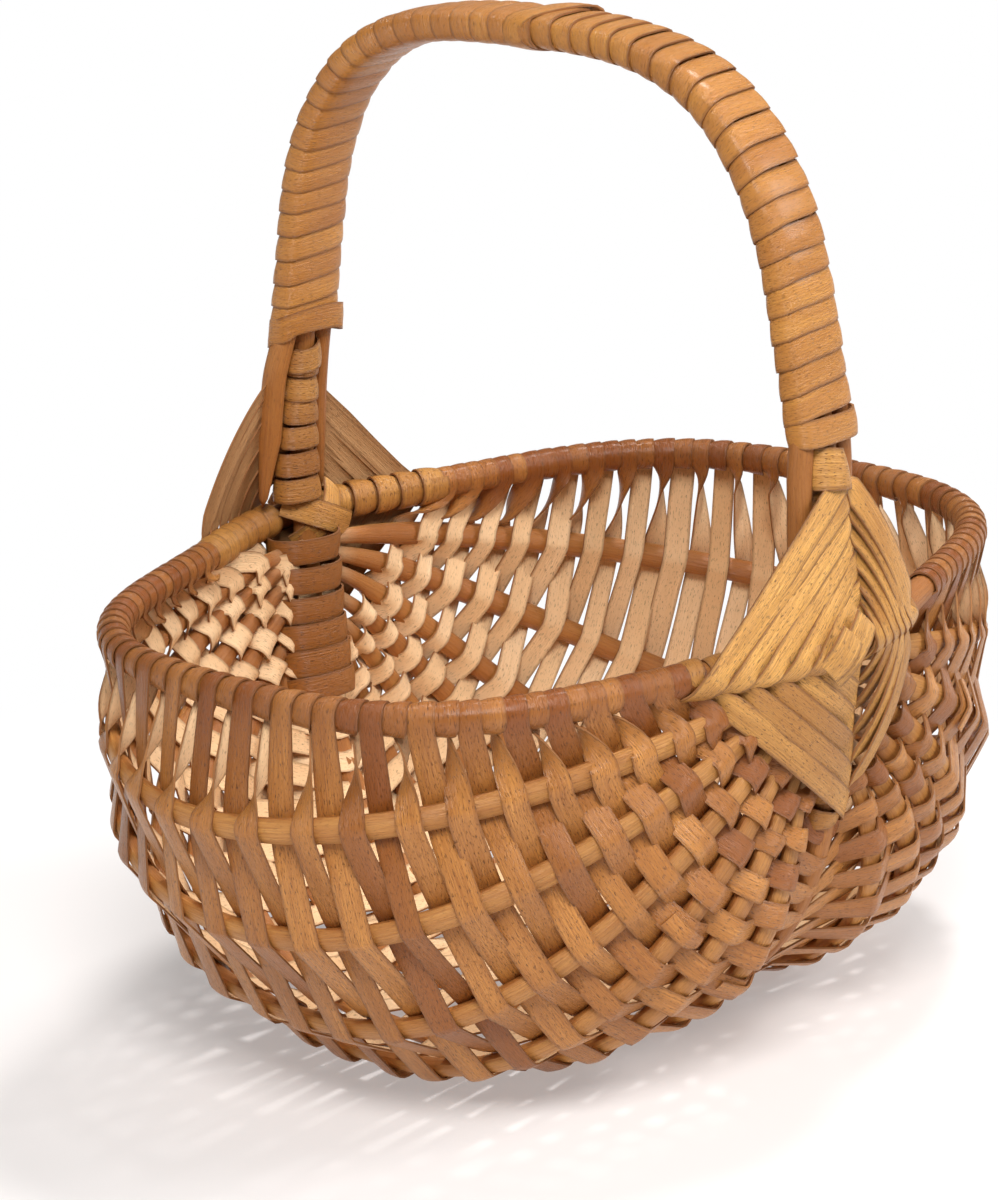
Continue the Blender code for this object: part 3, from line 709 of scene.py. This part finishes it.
def add_far_rows():
    """Short rows of their own on the left ribs, between the main rows and the far lashing."""
    route_seed, band_seed = FAR_ROW_SEEDS
    random = default_rng(route_seed)
    for count in range(FAR_ROWS):
        row = ROWS + count
        width = SPLINT_WIDTH * (1 + SPLINT_WIDTH_SPREAD * random.uniform(-1.0, 1.0))
        tone = random.uniform(*FAR_ROW_TONES)
        crests = row_crests(row, width, tone, random)[:CREST_STOPS * RIB_COUNT]
        under_rim = (RIM_LEFT.at(row + ROW_MIDDLE) - FAR_ROW_DROP, crests[0][1], width, tone)
        keel_end = (KEEL.at(row + ROW_MIDDLE) + FAR_ROW_KEEL, crests[-1][1], width, tone)
        route = [under_rim, *crests, keel_end]
        band(f"far_row_splint_{count + 1}", route, "weaver", band_seed + count)


def add_splices():
    """Short ends of new splints, each over one rib and standing off a little at its tip."""
    route_seed, band_seed = SPLICE_SEEDS
    random = default_rng(route_seed)
    for count in range(SPLICES):
        place = int(random.integers(1, LAST_PLACE))
        row = int(random.integers(SPLICE_EDGE_ROWS, ROWS - SPLICE_EDGE_ROWS))
        row += outside_sign(row, place) < 0
        tone = float(np.clip(random.normal(SPLICE_TONE, SPLICE_TONE_SPREAD), 0.0, 1.0))
        crests = row_crests(row, SPLICE_WIDTH_SHARE * SPLINT_WIDTH, tone, default_rng(0))
        middle = CREST_STOPS * (place - 1) + 1
        if not SPLICE_EDGE_STOPS <= middle < len(crests) - SPLICE_EDGE_STOPS:
            continue
        way = random.choice((-1, 1))
        before, start, top, end, after = (crests[middle + way * step][0] for step in range(-2, 3))
        tail = (1 - SPLICE_START_SHARE) * start + SPLICE_START_SHARE * before
        tip = (1 - SPLICE_END_SHARE) * end + SPLICE_END_SHARE * after
        _, face, wide, tone = crests[middle]
        spots = zip((tail, start, top, end, tip), SPLICE_LIFT_SHARES, SPLICE_STOP_SHARES)
        route = [(spot + SPLICE_LIFT * lift * face, face, wide * part, tone) for spot, lift, part in spots]
        band(f"splice_end_{count + 1}", route, "weaver", band_seed + count)


def add_weavers():
    route_seed, band_seed = WEAVER_SEEDS
    for number in range(ROWS // ROWS_A_WEAVER):
        route = weaver_route(number * ROWS_A_WEAVER, default_rng(route_seed + number))
        band(f"weaver_splints_{number + 1}", route, "weaver", band_seed + number, (f"weaver_{number + 1}",))


# Crossing lashings. Four values in brackets are for the arms in the lashing's order: the handle, the rim on
# one side, the keel and the rim on the other side.
LASHING_WIDTH = 9.0
LASHING_WIDTH_SPREAD = 0.07
LASHING_PITCHES = {NEAR: (9.1, 11.6, 10.5, 5.3), FAR: (9.8, 10.4, 11.2, 8.6)}
LASHING_TURNS = 6
LASHING_TONE = 0.18
LASHING_TONE_SPREAD = 0.16
LASHING_DARKEST = 0.5
LASHING_SEEDS = {NEAR: 301, FAR: 302}
LASHING_FIRST_REACHES = {NEAR: (7.5, 8.0, 8.0, 4.5), FAR: (12.0, 9.0, 3.5, 8.0)}
LASHING_LIFT = 0.9
LASHING_LAYERS = (1.0, 1.9, 1.5, 1.0)
LOOP_WIDTH_SHARES = {NEAR: (1.0, 1.0, 1.0, 1.0), FAR: (1.0, 1.16, 1.25, 1.0)}
HIDDEN_PASS_WIDTHS = (0.9, 0.55, 0.55, 0.9)
LOOP_SHINGLE = 0.12
RUN_SHINGLE = 0.15
CENTRE_RISES = (6.0, 0.0, 6.0, 0.0)
CENTRE_RISE_REACH = 32.0
LOOP_LAP = 24.0
LOOP_STEP = 34.0
LOOP_FRONT_DEGREES = 60.0
FULL_TURN = 360.0
LOOP_OUT = 4.2
LOOP_OUT_DEGREES = 36.0
LOOP_OUT_FULL_REACH = 36.0
LOOP_TILTS = (-25.0, 35.0, 35.0, 0.0)
FIRST_PASS_ON_TOP = (False, True, True, False)
LOOP_SIDE_REACHES = {NEAR: (5.9, 5.9, 7.5, 5.9), FAR: (6.4, 6.2, 12.0, 6.2)}
STEM_SWELL = 6.0
STEM_SWELL_REACHES = (20.0, 48.0)
KEEL_SWELLS = {NEAR: 0.0, FAR: 6.0}
LOOP_BACK_REACHES = {NEAR: (5.9, 5.9, 7.5, 5.9), FAR: (6.4, 6.2, 13.5, 6.4)}
RUN_SHARES = (0.12, 0.3, 0.5, 0.7, 0.88)
RUN_BULGES = {NEAR: (1.0, 6.5, 6.0, 3.0), FAR: (1.0, 6.0, 6.0, 1.0)}
RUN_BULGE_POWER = 0.7
RUN_ARCS = {NEAR: (0.0, 0.0, 2.0, 4.0), FAR: (0.0, 0.0, 0.0, 8.0)}
RUN_WIDTH_SHARES = {NEAR: (1.0, 1.05, 1.05, 1.1), FAR: (1.0, 1.0, 1.0, 0.9)}
LAST_RUN_WIDTH = 12.0
FULL_RUN = 70.0
# Tone added where a loop passes behind its arm, inside the basket: painted shade, partly also a browner
# splint.
INSIDE_SHADE_TONES = {NEAR: (0.6, 0.6, 0.6, 0.6), FAR: (0.75, 0.45, 1.5, 0.45)}
# Tone added on each run between two arms, painted light and shade: paler on the run from the handle to the
# first rim, the sheet that faces the light most, and darker on the other three.
RUN_LIGHT_AND_SHADE_TONES = (-0.3, 0.3, 0.34, 0.38)
CAP_WIDTHS = {NEAR: 15.0, FAR: 9.6}
CAP_REACHES = {NEAR: 63.0, FAR: 69.0}
LAST_LOOP_BELOW_CAP = {NEAR: 2.0, FAR: 5.0}
LAST_LOOP_END_DEGREES = 180.0
LAST_CORNER_STEP = 1.5
CAP_LIFT = 1.3
CAP_LAP_RISE = 1.2
CAP_SLOPE = 1.6
CAP_TONES = {NEAR: 0.5, FAR: 0.8}
CAP_STOP_DEGREES = {NEAR: range(150, 571, 30), FAR: range(-30, 391, 30)}
CAP_SEED_STEP = 20
# Short splints over a crossing: half length, drop at the ends, stand-off, place along the second arm, slope
# (towards the second arm where it falls) and width
CROSSED_SPLINTS = {
    "outer_under": (13.0, 2.5, 1.6, 8.0, 1.0, 13.0),
    "outer_over": (8.5, 1.8, 3.0, 14.0, 1.0, 12.5),
    "inner_under": (15.0, 8.0, 0.8, 6.0, -1.0, 11.0),
    "inner_over": (19.0, 9.0, 1.8, 7.0, 0.5, 11.0),
}
CROSSED_STOPS = 7
CROSSED_CURL = 0.8
CROSSED_OUTER_TONE, CROSSED_INNER_TONE = 0.05, 0.45
CROSSED_SEED_STEP = 10


class Arm:
    """A hoop's way out from a crossing, measured from it."""

    def __init__(self, points, end, number):
        self.points = points
        self.lengths = lengths_along(points)
        self.heading = headings(points)
        self.front = np.array([0.0, end, 0.0])
        self.end, self.number = end, number

    def frame(self, reach):
        middle = place_at(self.points, self.lengths, reach)
        outward = unit(place_at(self.heading, self.lengths, reach))
        front = unit(self.front - outward * (self.front @ outward))
        return middle, outward, front, np.cross(front, outward)


def arms_of(end):
    """The four arms of a crossing in the order of the lashing."""
    first_rim, last_rim = (RIM_LEFT, RIM_RIGHT) if end == NEAR else (RIM_RIGHT, RIM_LEFT)
    curves = (HANDLE, first_rim.curve, KEEL.curve, last_rim.curve)
    return [Arm(curve if end == NEAR else curve[::-1], end, number) for number, curve in enumerate(curves)]


def loop_stops(arm, reach, width, tone, last_degrees=FULL_TURN + LOOP_LAP):
    """Round an arm: over its front, behind it and over its front again."""
    end, number = arm.end, arm.number
    swell = np.interp(reach, STEM_SWELL_REACHES, (STEM_SWELL * (number == 0), 0.0))
    keel_swell = KEEL_SWELLS[end] * (number == 2)
    back_reach = LOOP_BACK_REACHES[end][number]
    rise = CENTRE_RISES[number] * max(0.0, 1 - reach / CENTRE_RISE_REACH)
    stops = []
    for degrees in np.arange(-LOOP_LAP, last_degrees + 1, LOOP_STEP):
        from_front = min(degrees, FULL_TURN - degrees)
        out = LOOP_OUT * np.clip(from_front / LOOP_OUT_DEGREES, -1.0, 1.0)
        out = out * min(1.0, reach / LOOP_OUT_FULL_REACH)
        middle, outward, front, onward = arm.frame(reach + out)
        angle = radians(degrees + LOOP_TILTS[number])
        side_reach = LOOP_SIDE_REACHES[end][number] + (swell if sin(angle) < 0 else keel_swell)
        deep = HOOP_RADIUS + LASHING_LIFT + rise if cos(angle) > 0 else back_reach
        share = min(max(degrees / FULL_TURN, 0.0), 1.0)
        shown, hidden = (1 - share, share) if FIRST_PASS_ON_TOP[number] else (share, 1 - share)
        layer = LASHING_LAYERS[number] * shown
        radial = unit(cos(angle) / deep * front + sin(angle) / side_reach * onward)
        spot = middle + deep * cos(angle) * front + side_reach * sin(angle) * onward + layer * radial
        behind = min(1.0, max(0.0, from_front / LOOP_FRONT_DEGREES))
        last_quarter = min(1.0, max(0.0, 4 * hidden - 3))
        covered = 1 - (1 - HIDDEN_PASS_WIDTHS[number]) * last_quarter
        wide = width * covered * LOOP_WIDTH_SHARES[end][number]
        # Darker behind the arm: painted shade.
        shade = tone + INSIDE_SHADE_TONES[end][number] * behind
        stops.append((spot, unit(radial + LOOP_SHINGLE * outward), wide, shade))
    return stops


def cap_stops(end):
    """The wide last turn round the stem of the handle, with both its ends lapped behind the stem."""
    arm = arms_of(end)[0]
    stops = []
    for degrees in CAP_STOP_DEGREES[end]:
        c, t = cos(radians(degrees)), sin(radians(degrees))
        middle, outward, front, onward = arm.frame(CAP_REACHES[end] + CAP_SLOPE * t)
        radial = c * front + t * onward
        stand = HOOP_RADIUS + LASHING_LIFT + CAP_LIFT + CAP_LAP_RISE * degrees / FULL_TURN
        face = unit(radial + LOOP_SHINGLE * outward)
        stops.append((middle + stand * radial, face, CAP_WIDTHS[end], CAP_TONES[end]))
    return stops


def run_stops(start, goal, before, after, reach, width, tone):
    """From one arm to the next, over the rib ends between them."""
    end, number = after.end, after.number - 1
    outward = unit(before.frame(reach)[1] + after.frame(reach)[1])
    face = unit(before.frame(reach)[2] + after.frame(reach)[2])
    size = min(1.0, np.linalg.norm(goal - start) / FULL_RUN)
    stops = []
    for share in RUN_SHARES:
        swell = size * sin(pi * share) ** RUN_BULGE_POWER
        place = start * (1 - share) + goal * share
        place = place + swell * (RUN_BULGES[end][number] * face + RUN_ARCS[end][number] * outward)
        # The run's own tone step is painted light and shade.
        stops.append((place, unit(face + RUN_SHINGLE * outward), width * RUN_WIDTH_SHARES[end][number],
                      tone + RUN_LIGHT_AND_SHADE_TONES[number]))
    return stops


def lashing_route(end, random):
    """From arm to arm for all turns, then a loop below the cap, a last run and a loop on the next arm."""
    arms = arms_of(end)
    stops = []
    previous = arms[-1]
    for turn in range(LASHING_TURNS + 1):
        for number, arm in enumerate(arms):
            width = LASHING_WIDTH * (1 + LASHING_WIDTH_SPREAD * random.uniform(-1.0, 1.0))
            tone = random.normal(LASHING_TONE, LASHING_TONE_SPREAD)
            tone = float(np.clip(tone, 0.0, LASHING_DARKEST))
            pitch = LASHING_PITCHES[end][number]
            reach = LASHING_FIRST_REACHES[end][number] + pitch * (turn + number / len(arms))
            last = turn == LASHING_TURNS
            if last and number == 0:
                loop = loop_stops(arm, CAP_REACHES[end] - LAST_LOOP_BELOW_CAP[end], width, tone)
            elif last:
                reach += LAST_CORNER_STEP - pitch
                loop = loop_stops(arm, reach, width, tone, LAST_LOOP_END_DEGREES)
            else:
                loop = loop_stops(arm, reach, width, tone)
            if stops:
                wide = LAST_RUN_WIDTH if last and number == 0 else width
                stops += run_stops(stops[-1][0], loop[0][0], previous, arm, reach, wide, tone)
            stops += loop
            previous = arm
            if last and number == 1:
                return stops


def crossed_splint(end, name):
    """A short wide splint laid slantwise over the middle of a crossing, on its outer or inner face."""
    handle, rim = arms_of(end)[:2]
    inside = name.startswith("inner")
    half_length, drop, stand, shift, slope, width = CROSSED_SPLINTS[name]
    middle, sideways, facing, _ = rim.frame(shift)
    if inside:
        middle, facing = handle.frame(0.0)[0] + shift * sideways, -facing
    way = unit(slope * handle.frame(0.0)[1] - sideways)
    tone = CROSSED_INNER_TONE if inside else CROSSED_OUTER_TONE
    stops = []
    for slant in np.linspace(-1.0, 1.0, CROSSED_STOPS):
        out = HOOP_RADIUS + LASHING_LIFT + stand - drop * slant * slant
        place = middle + way * half_length * slant + facing * out
        stops.append((place, unit(facing + CROSSED_CURL * slant * way), width, tone))
    return stops


def add_lashings():
    for end_name, end in (("near", NEAR), ("far", FAR)):
        seed = LASHING_SEEDS[end]
        route = lashing_route(end, default_rng(seed))
        band(f"crossing_splint_{end_name}", route, "lashing", seed, (f"crossing_lashing_{end_name}",))
        band(f"crossing_cap_{end_name}", cap_stops(end), "lashing", seed + CAP_SEED_STEP)
        for name in CROSSED_SPLINTS:
            route = crossed_splint(end, name)
            band(f"crossing_{name}_{end_name}", route, "lashing", seed + CROSSED_SEED_STEP)


# Grip
GRIP_ROD_RADIUS = 4.6
GRIP_OFFSET = HOOP_RADIUS + 0.35 + GRIP_ROD_RADIUS
GRIP_ROD_ENDS = (17.0, 8.0)
GRIP_ROD_POINTS = 240
GRIP_ROD_TAPER = 28.0
GRIP_ROD_TAPER_SHARE = 0.68
GRIP_ROD_FLARES = {LEFT: 3.0, RIGHT: 0.4}
GRIP_ROD_SPLAYS = {LEFT: 4.5, RIGHT: 0.0}
GRIP_ROD_TUCKS = {LEFT: (6.0, -3.0), RIGHT: (6.0, -4.0)}
FLARE_START = 80.0
FLARE_LENGTH = 18.0
BINDING_WIDTH = 10.1
BINDING_START = 82.0
BINDING_TURNS = 22
BINDING_STOPS = 20
GRIP_HALF_WIDE = GRIP_OFFSET + GRIP_ROD_RADIUS + 0.3
GRIP_HALF_DEEP = 6.2
GRIP_SECTION_POWER = 3.3
HEADING_STEP = 1.0
BINDING_SHINGLE = 0.1
BINDING_TONES = {NEAR: 0.38, FAR: 0.56}
BINDING_TONE_SPREAD = 0.2
BINDING_SWAY = 0.7
BINDING_LOOSENESS = 0.5
# The looser last turns of the grip: points to measure along, reach, slopes, stand-off and seed
COLLARS = {
    "collar_near": (HANDLE, 78.5, 1.0, 0.0, 0.9, 411),
    "collar_far": (HANDLE[::-1], 81.0, -5.0, 0.0, 1.8, 412),
    "lap": (HANDLE, 286.5, 0.0, -6.5, 1.5, 413),
}
COLLAR_STOPS = 27
COLLAR_START_SHARE = 0.12
COLLAR_LOOSENESS = 0.7
COLLAR_TONE = 0.3
HANDLE_LENGTHS = lengths_along(HANDLE)


def raised(value, power):
    return copysign(abs(value) ** power, value)


def grip_section(share, extra):
    """A point of the rounded outline of the three rods, and its outward way, from a share of one turn."""
    angle = 2 * pi * share
    c, t = cos(angle), sin(angle)
    wide, deep = GRIP_HALF_WIDE + extra, GRIP_HALF_DEEP + extra
    bend = 2 / GRIP_SECTION_POWER
    spot = np.array([wide * raised(c, bend), deep * raised(t, bend)])
    way = np.array([raised(c, 2 - bend) / wide, raised(t, 2 - bend) / deep])
    return spot, way / np.linalg.norm(way)


def grip_stop(points, lengths, reach, share, tone, extra, shingle):
    middle = place_at(points, lengths, reach)
    before, after = place_at(points, lengths, np.array([reach - HEADING_STEP, reach + HEADING_STEP]))
    ahead = unit(after - before)
    sideways = np.array([1.0, 0.0, 0.0])
    outward = np.cross(ahead, sideways)
    spot, way = grip_section(share, extra)
    normal = way[0] * sideways + way[1] * outward
    place = middle + spot[0] * sideways + spot[1] * outward
    return (place, unit(normal + shingle * ahead), BINDING_WIDTH, tone)


def binding_route(points, tone, random):
    """Turn by turn round the three rods, from the foot of a leg to the top of the grip."""
    lengths = lengths_along(points)
    total = lengths[-1] / 2 - BINDING_START
    turns = np.arange(BINDING_TURNS + 2)
    tones = np.clip(random.normal(tone, BINDING_TONE_SPREAD, len(turns)), 0.0, 1.0)
    sways = random.uniform(-BINDING_SWAY, BINDING_SWAY, len(turns))
    lifts = random.uniform(0.0, BINDING_LOOSENESS, len(turns))
    stops = []
    for i in range(BINDING_TURNS * BINDING_STOPS + 1):
        turn = i / BINDING_STOPS
        sway, lift, shade = (np.interp(turn, turns, values) for values in (sways, lifts, tones))
        reach = BINDING_START + total * turn / BINDING_TURNS + sway
        stops.append(grip_stop(points, lengths, reach, turn, shade, lift, BINDING_SHINGLE))
    return stops


def add_bindings():
    for name, points, end, seed in (("near", HANDLE, NEAR, 401), ("far", HANDLE[::-1], FAR, 402)):
        route = binding_route(points, BINDING_TONES[end], default_rng(seed))
        band(f"grip_splint_{name}", route, "binding", seed, (f"grip_binding_{name}",))


def add_collars():
    """The last, looser turn at the foot of each leg's binding, and the slanting lap on top of the grip."""
    for name, (points, height, slope, slant, stand, seed) in COLLARS.items():
        lengths = lengths_along(points)
        stops = []
        for i in range(COLLAR_STOPS):
            share = COLLAR_START_SHARE + i / BINDING_STOPS
            turned = 2 * pi * share
            loose = stand * (1 + COLLAR_LOOSENESS * cos(turned))
            reach = height + slope * sin(turned) + slant * cos(turned)
            stops.append(grip_stop(points, lengths, reach, share, COLLAR_TONE, loose, 0.0))
        band(f"grip_{name}", stops, "binding", seed)


def add_grip_rods():
    total = HANDLE_LENGTHS[-1]
    near_end, far_end = GRIP_ROD_ENDS
    spots = np.linspace(near_end, total - far_end, GRIP_ROD_POINTS)
    places = place_at(HANDLE, HANDLE_LENGTHS, spots)
    far = spots > total / 2
    from_crossing = np.minimum(spots, total - spots)
    end = np.where(far, far_end, near_end)
    flare = np.clip((FLARE_START - from_crossing) / FLARE_LENGTH, 0.0, 1.0)
    tuck = np.clip((FLARE_START - from_crossing) / (FLARE_START - end), 0.0, 1.0)
    share = np.clip((from_crossing - end) / GRIP_ROD_TAPER, 0.0, 1.0)
    for name, side, seed in (("left", LEFT, 501), ("right", RIGHT, 502)):
        moved = places.copy()
        near_tuck, far_tuck = GRIP_ROD_TUCKS[side]
        splay = GRIP_ROD_SPLAYS[side] * tuck * far + GRIP_ROD_RADIUS * GRIP_ROD_TAPER_SHARE * (1 - share)
        moved[:, 0] += side * (GRIP_OFFSET + GRIP_ROD_FLARES[side] * flare + splay)
        moved[:, 1] += tuck * np.where(far, -far_tuck, near_tuck)
        towards = np.tile([0.0, 1.0, 0.0], (len(moved), 1))
        radius = GRIP_ROD_RADIUS * (1 - GRIP_ROD_TAPER_SHARE * (1 - share))
        rod(f"grip_rod_{name}_dressed", moved, towards, radius, radius, "grip_rod", seed,
            (f"grip_rod_{name}",))


add_hoops()
add_ribs()
add_weavers()
add_far_rows()
add_splices()
add_lashings()
add_grip_rods()
add_bindings()
add_collars()

# Camera at the photograph's angle
CAMERA_AZIMUTH = radians(-47.313)
CAMERA_ELEVATION = radians(17.182)
CAMERA_ROLL = radians(-2.138)
CAMERA_TARGET = np.array([-14.58, 15.88, 160.03])
CAMERA_DISTANCE = 1627.9
CAMERA_LENS = 126.86
CAMERA_SENSOR = 36.0


def add_camera():
    back = np.array([sin(CAMERA_AZIMUTH) * cos(CAMERA_ELEVATION),
                     -cos(CAMERA_AZIMUTH) * cos(CAMERA_ELEVATION), sin(CAMERA_ELEVATION)])
    right = unit(np.cross(-back, [0.0, 0.0, 1.0]))
    up = np.cross(right, -back)
    c, s = cos(CAMERA_ROLL), sin(CAMERA_ROLL)
    right, up = c * right + s * up, c * up - s * right
    bpy.ops.object.camera_add()
    camera = bpy.context.object
    camera.name = "photo_camera"
    camera.data.sensor_fit = "VERTICAL"
    camera.data.sensor_height = camera.data.sensor_width = CAMERA_SENSOR
    camera.data.lens = CAMERA_LENS
    place = (CAMERA_TARGET + back * CAMERA_DISTANCE) * METRES
    matrix = np.eye(4)
    matrix[:3, 0], matrix[:3, 1], matrix[:3, 2], matrix[:3, 3] = right, up, back, place
    camera.matrix_world = Matrix(matrix.tolist())
    bpy.context.scene.camera = camera


add_camera()


# Lights: place, size and power
LIGHTS = {
    "key_light": ((0.8, 0.1, 2.0), 0.4, 25.0),
    "left_light": ((-1.1, -1.0, 1.75), 0.9, 42.0),
    "side_light": ((1.3, -1.3, 1.2), 0.7, 23.0),
}
LIGHT_AIM = np.array([0.0, 0.0, 0.16])


def add_light(name, place, size, power):
    bpy.ops.object.light_add(type="AREA", location=place)
    lamp = bpy.context.object
    lamp.name = name
    lamp.data.shape = "DISK"
    lamp.data.size = size
    lamp.data.energy = power
    aim = LIGHT_AIM - np.array(place)
    tilt = acos(-aim[2] / np.linalg.norm(aim))
    lamp.rotation_euler = (tilt, 0.0, atan2(aim[1], aim[0]) - pi / 2)


for light, values in LIGHTS.items():
    add_light(light, *values)


# World and floor
WORLD_STRENGTH = 0.2
FLOOR_SIZE = 6.0
FLOOR_COLOUR = (0.90, 0.85, 0.825)
FLOOR_ROUGHNESS = 0.85
FLOOR_INNER, FLOOR_OUTER = 0.25, 0.50
FLOOR_CENTRE = (-0.14, 0.0, 0.0)
FLOOR_GLOW = 0.32


def blend_to_surface(tree, output, factor, first, second):
    """The output shows the first shader where the factor is 0 and the second where it is 1."""
    mix = node(tree, "ShaderNodeMixShader")
    for source, socket in zip((factor, first, second), mix.inputs):
        tree.links.new(source, socket)
    tree.links.new(mix.outputs[0], tree.nodes[output].inputs["Surface"])


def add_world():
    world = bpy.data.worlds.new("plain studio")
    bpy.context.scene.world = world
    world.use_nodes = True
    tree = world.node_tree
    shade = tree.nodes["Background"]
    fill(shade, {"Color": (1.0, 1.0, 1.0, 1.0), "Strength": WORLD_STRENGTH})
    backdrop = node(tree, "ShaderNodeBackground")
    rays = node(tree, "ShaderNodeLightPath")
    seen = rays.outputs["Is Camera Ray"]
    blend_to_surface(tree, "World Output", seen, shade.outputs[0], backdrop.outputs[0])


def add_floor():
    """A pale floor that glows more and more away from the basket, up to plain white."""
    bpy.ops.mesh.primitive_plane_add(size=FLOOR_SIZE, location=(0.0, 0.0, 0.0))
    floor = bpy.context.object
    floor.name = "floor"
    made = bpy.data.materials.new("pale floor")
    made.use_nodes = True
    tree = made.node_tree
    shader = tree.nodes["Principled BSDF"]
    fill(shader, {"Base Color": (*FLOOR_COLOUR, 1.0), "Roughness": FLOOR_ROUGHNESS})
    coordinates = node(tree, "ShaderNodeTexCoord")
    distance = node(tree, "ShaderNodeVectorMath", operation="DISTANCE")
    distance.inputs[1].default_value = FLOOR_CENTRE
    fade = node(tree, "ShaderNodeMapRange")
    fill(fade, {"From Min": FLOOR_INNER, "From Max": FLOOR_OUTER, "To Min": FLOOR_GLOW})
    glow = node(tree, "ShaderNodeEmission")
    tree.links.new(coordinates.outputs["Object"], distance.inputs[0])
    tree.links.new(distance.outputs["Value"], fade.inputs["Value"])
    blend_to_surface(tree, "Material Output", fade.outputs[0], shader.outputs[0], glow.outputs[0])
    floor.data.materials.append(made)


add_world()
add_floor()
bpy.context.scene.view_settings.view_transform = "Standard"
